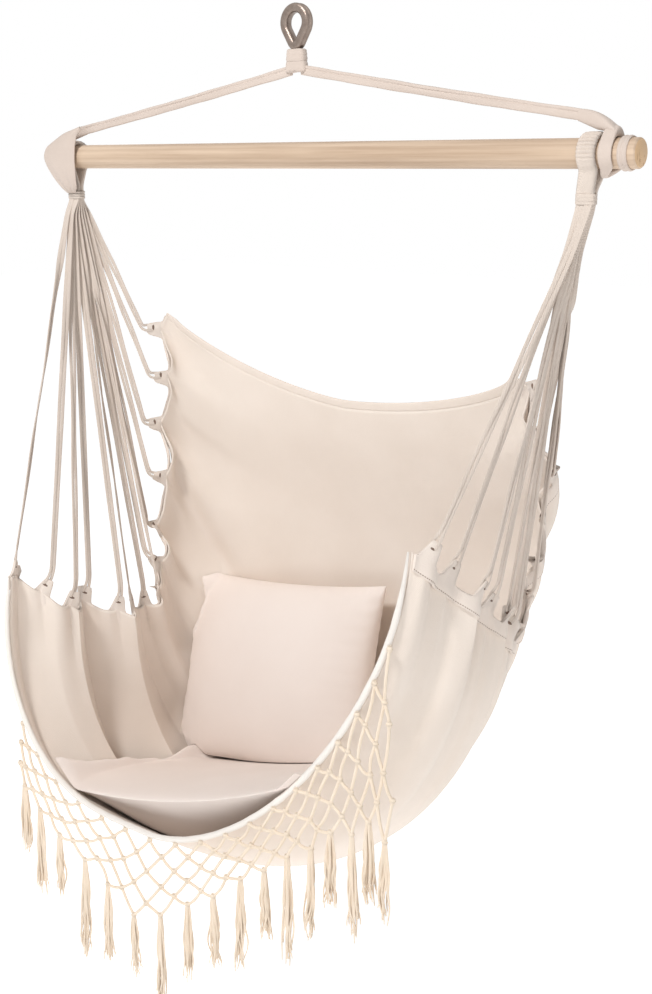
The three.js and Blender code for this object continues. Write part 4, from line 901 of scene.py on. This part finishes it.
def lifted(tree, point, least):
    """The way up for a point that lies under the top of another cushion, or nearer than the least"""
    found = tree.ray_cast(Vector((*point[:2], 0)), Vector((0, 0, -1)))[0]
    return Z_AXIS * (0 if found is None else max(found.z + least - point[2], 0))


def settled(grid, *supports):
    """A cushion grid moved off what it rests on, then three times evened out and moved again"""
    for step in range(4):
        if step:
            wide = np.pad(grid, ((0, 0), (1, 1), (0, 0)), mode="wrap")
            even = grid.copy()
            even[1:-1] = (grid[:-2] + grid[2:] + wide[1:-1, :-2] + wide[1:-1, 2:]) / 4
            grid = (grid + even) / 2
        for move, tree, clearance in supports:
            least = np.broadcast_to(clearance, grid.shape[:2]).ravel()
            moves = [move(tree, *each) for each in zip(grid.reshape(-1, 3), least)]
            grid = grid + np.reshape(moves, grid.shape)
    return grid


cushion_cover = woven("cushion_cover", (240, 229, 222), (228, 214, 205), COVER_WEAVE, depth=0.00022)

# The pad lies on the inner ridges of the pleats and doesn't fill them: at each row, the furthest
# inward that the cloth comes within a reach of rows, then the mean of that over the same reach
RIDGE_REACH = 12
ridge = ((cloth - plain_cloth) * plain_out).sum(-1)
for gathered in (np.min, np.mean):
    wide = np.pad(ridge, ((RIDGE_REACH, RIDGE_REACH), (0, 0)), mode="edge")
    windows = np.lib.stride_tricks.sliding_window_view(wide, 2 * RIDGE_REACH + 1, axis=0)
    ridge = gathered(windows, axis=-1)
ridges = plain_cloth + plain_out * ridge[..., None]

PAD_SIZE, PAD_OVER, PAD_UNDER, PAD_FULLNESS = (0.52, 0.38), 0.026, 0.1, (0.55, 1.25)
PAD_AT, PAD_TILT = (-0.054, -0.066, -1.072), -0.24
PAD_CLIMB, PAD_BEND = 0.282, 0.506  # it rides up the bowl to the right: a slope, and a curve per metre
where = Matrix.Translation(PAD_AT) @ Matrix.Rotation(PAD_TILT, 4, "X")
seat_grid, room = cushion(*PAD_SIZE, PAD_OVER, PAD_UNDER, PAD_FULLNESS, where)
along_bar = seat_grid[..., 0] - PAD_AT[0]
seat_grid[..., 2] += PAD_CLIMB * along_bar + PAD_BEND * along_bar**2
seat_grid = settled(seat_grid, (pressed, tree_of(ridges), room))
pad = piece("seat_pad", [seat_grid], cushion_cover, "seat_cushion", "canvas", "seat_cushion", sharp=75)

PILLOW_SIZE, PILLOW_HALF_THICK, PILLOW_FULLNESS = (0.384, 0.302), 0.055, (0.42, 0.42)
PILLOW_AT, PILLOW_ROLL, PILLOW_LEAN = (-0.114, 0.079, -0.957), -0.122, 0.338
where = (Matrix.Translation(PILLOW_AT) @ Matrix.Rotation(PILLOW_ROLL, 4, "Y")
         @ Matrix.Rotation(np.pi / 2 - PILLOW_LEAN, 4, "X"))
back_grid, room = cushion(*PILLOW_SIZE, PILLOW_HALF_THICK, PILLOW_HALF_THICK, PILLOW_FULLNESS, where)
back_grid = settled(back_grid, (pressed, tree_of(cloth), room),
                    (lifted, tree_of(seat_grid, ring=True), PAD_CLEARANCE))
pillow = piece("back_pillow", [back_grid], cushion_cover, "back_cushion", "canvas", "back_cushion",
               sharp=75)

# Studio: a pale floor well under the chair, a white sky that only the camera and mirrors see at its
# full strength, and two soft lamps. The camera stands where the photo was taken.
FLOOR_Z, FLOOR_SIZE, FLOOR_GLOW = -1.75, 30, 0.7
AMBIENT = 0.31
LAMPS = (  # name, place, size and power
    ("key_lamp", (0.25, -2.7, 2.6), 0.6, 121),
    ("fill_lamp", (2.7, -2.4, 0.1), 1.6, 11),
)
LAMP_AIM = (0, 0, -0.75)
CAMERA_AT = (1.15718, -1.37908, -0.19228)
CAMERA_RIGHT, CAMERA_UP = (0.77938, 0.62655, 0), (-0.15158, 0.18855, 0.9703)
CAMERA_BACK = (0.60794, -0.75623, 0.24192)
CAMERA_LENS, CAMERA_SENSOR = 48.0, 36.0

floor_paint, _, _ = new_material("floor_paint", {
    "Roughness": 0.9, "Base Color": colour(250, 250, 250),
    "Emission Color": colour(255, 255, 255), "Emission Strength": FLOOR_GLOW})
bpy.ops.mesh.primitive_plane_add(size=FLOOR_SIZE, location=(0, 0, FLOOR_Z))
floor = bpy.context.object
floor.name = "floor"
floor.data.materials.append(floor_paint)

scene = bpy.context.scene
scene.view_settings.view_transform = "Standard"
world = bpy.data.worlds.new("studio")
scene.world = world
world.use_nodes = True
sky = world.node_tree.nodes["Background"].inputs
sky["Color"].default_value = (1, 1, 1, 1)
strength = Wire(sky["Strength"])
seen, mirrored, through_glass = (strength.node("ShaderNodeLightPath", {}, {}, f"Is {kind} Ray")
                                 for kind in ("Camera", "Glossy", "Transmission"))
seen = seen.math("MAXIMUM", mirrored).math("MAXIMUM", through_glass)
(seen * (1 - AMBIENT) + AMBIENT).feed("Strength", "Background")

for name, place, size, power in LAMPS:
    lamp = bpy.data.objects.new(name, bpy.data.lights.new(name, "AREA"))
    scene.collection.objects.link(lamp)
    lamp.data.size, lamp.data.energy = size, power
    lamp.location = place
    lamp.rotation_euler = (Vector(LAMP_AIM) - Vector(place)).to_track_quat("-Z", "Y").to_euler()
    lamp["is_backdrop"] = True
floor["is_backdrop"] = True

camera = bpy.data.objects.new("camera", bpy.data.cameras.new("camera"))
scene.collection.objects.link(camera)
camera.data.lens, camera.data.sensor_width = CAMERA_LENS, CAMERA_SENSOR
turn = Matrix((CAMERA_RIGHT, CAMERA_UP, CAMERA_BACK)).transposed()
camera.matrix_world = Matrix.Translation(CAMERA_AT) @ turn.to_4x4()
scene.camera = camera

low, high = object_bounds()
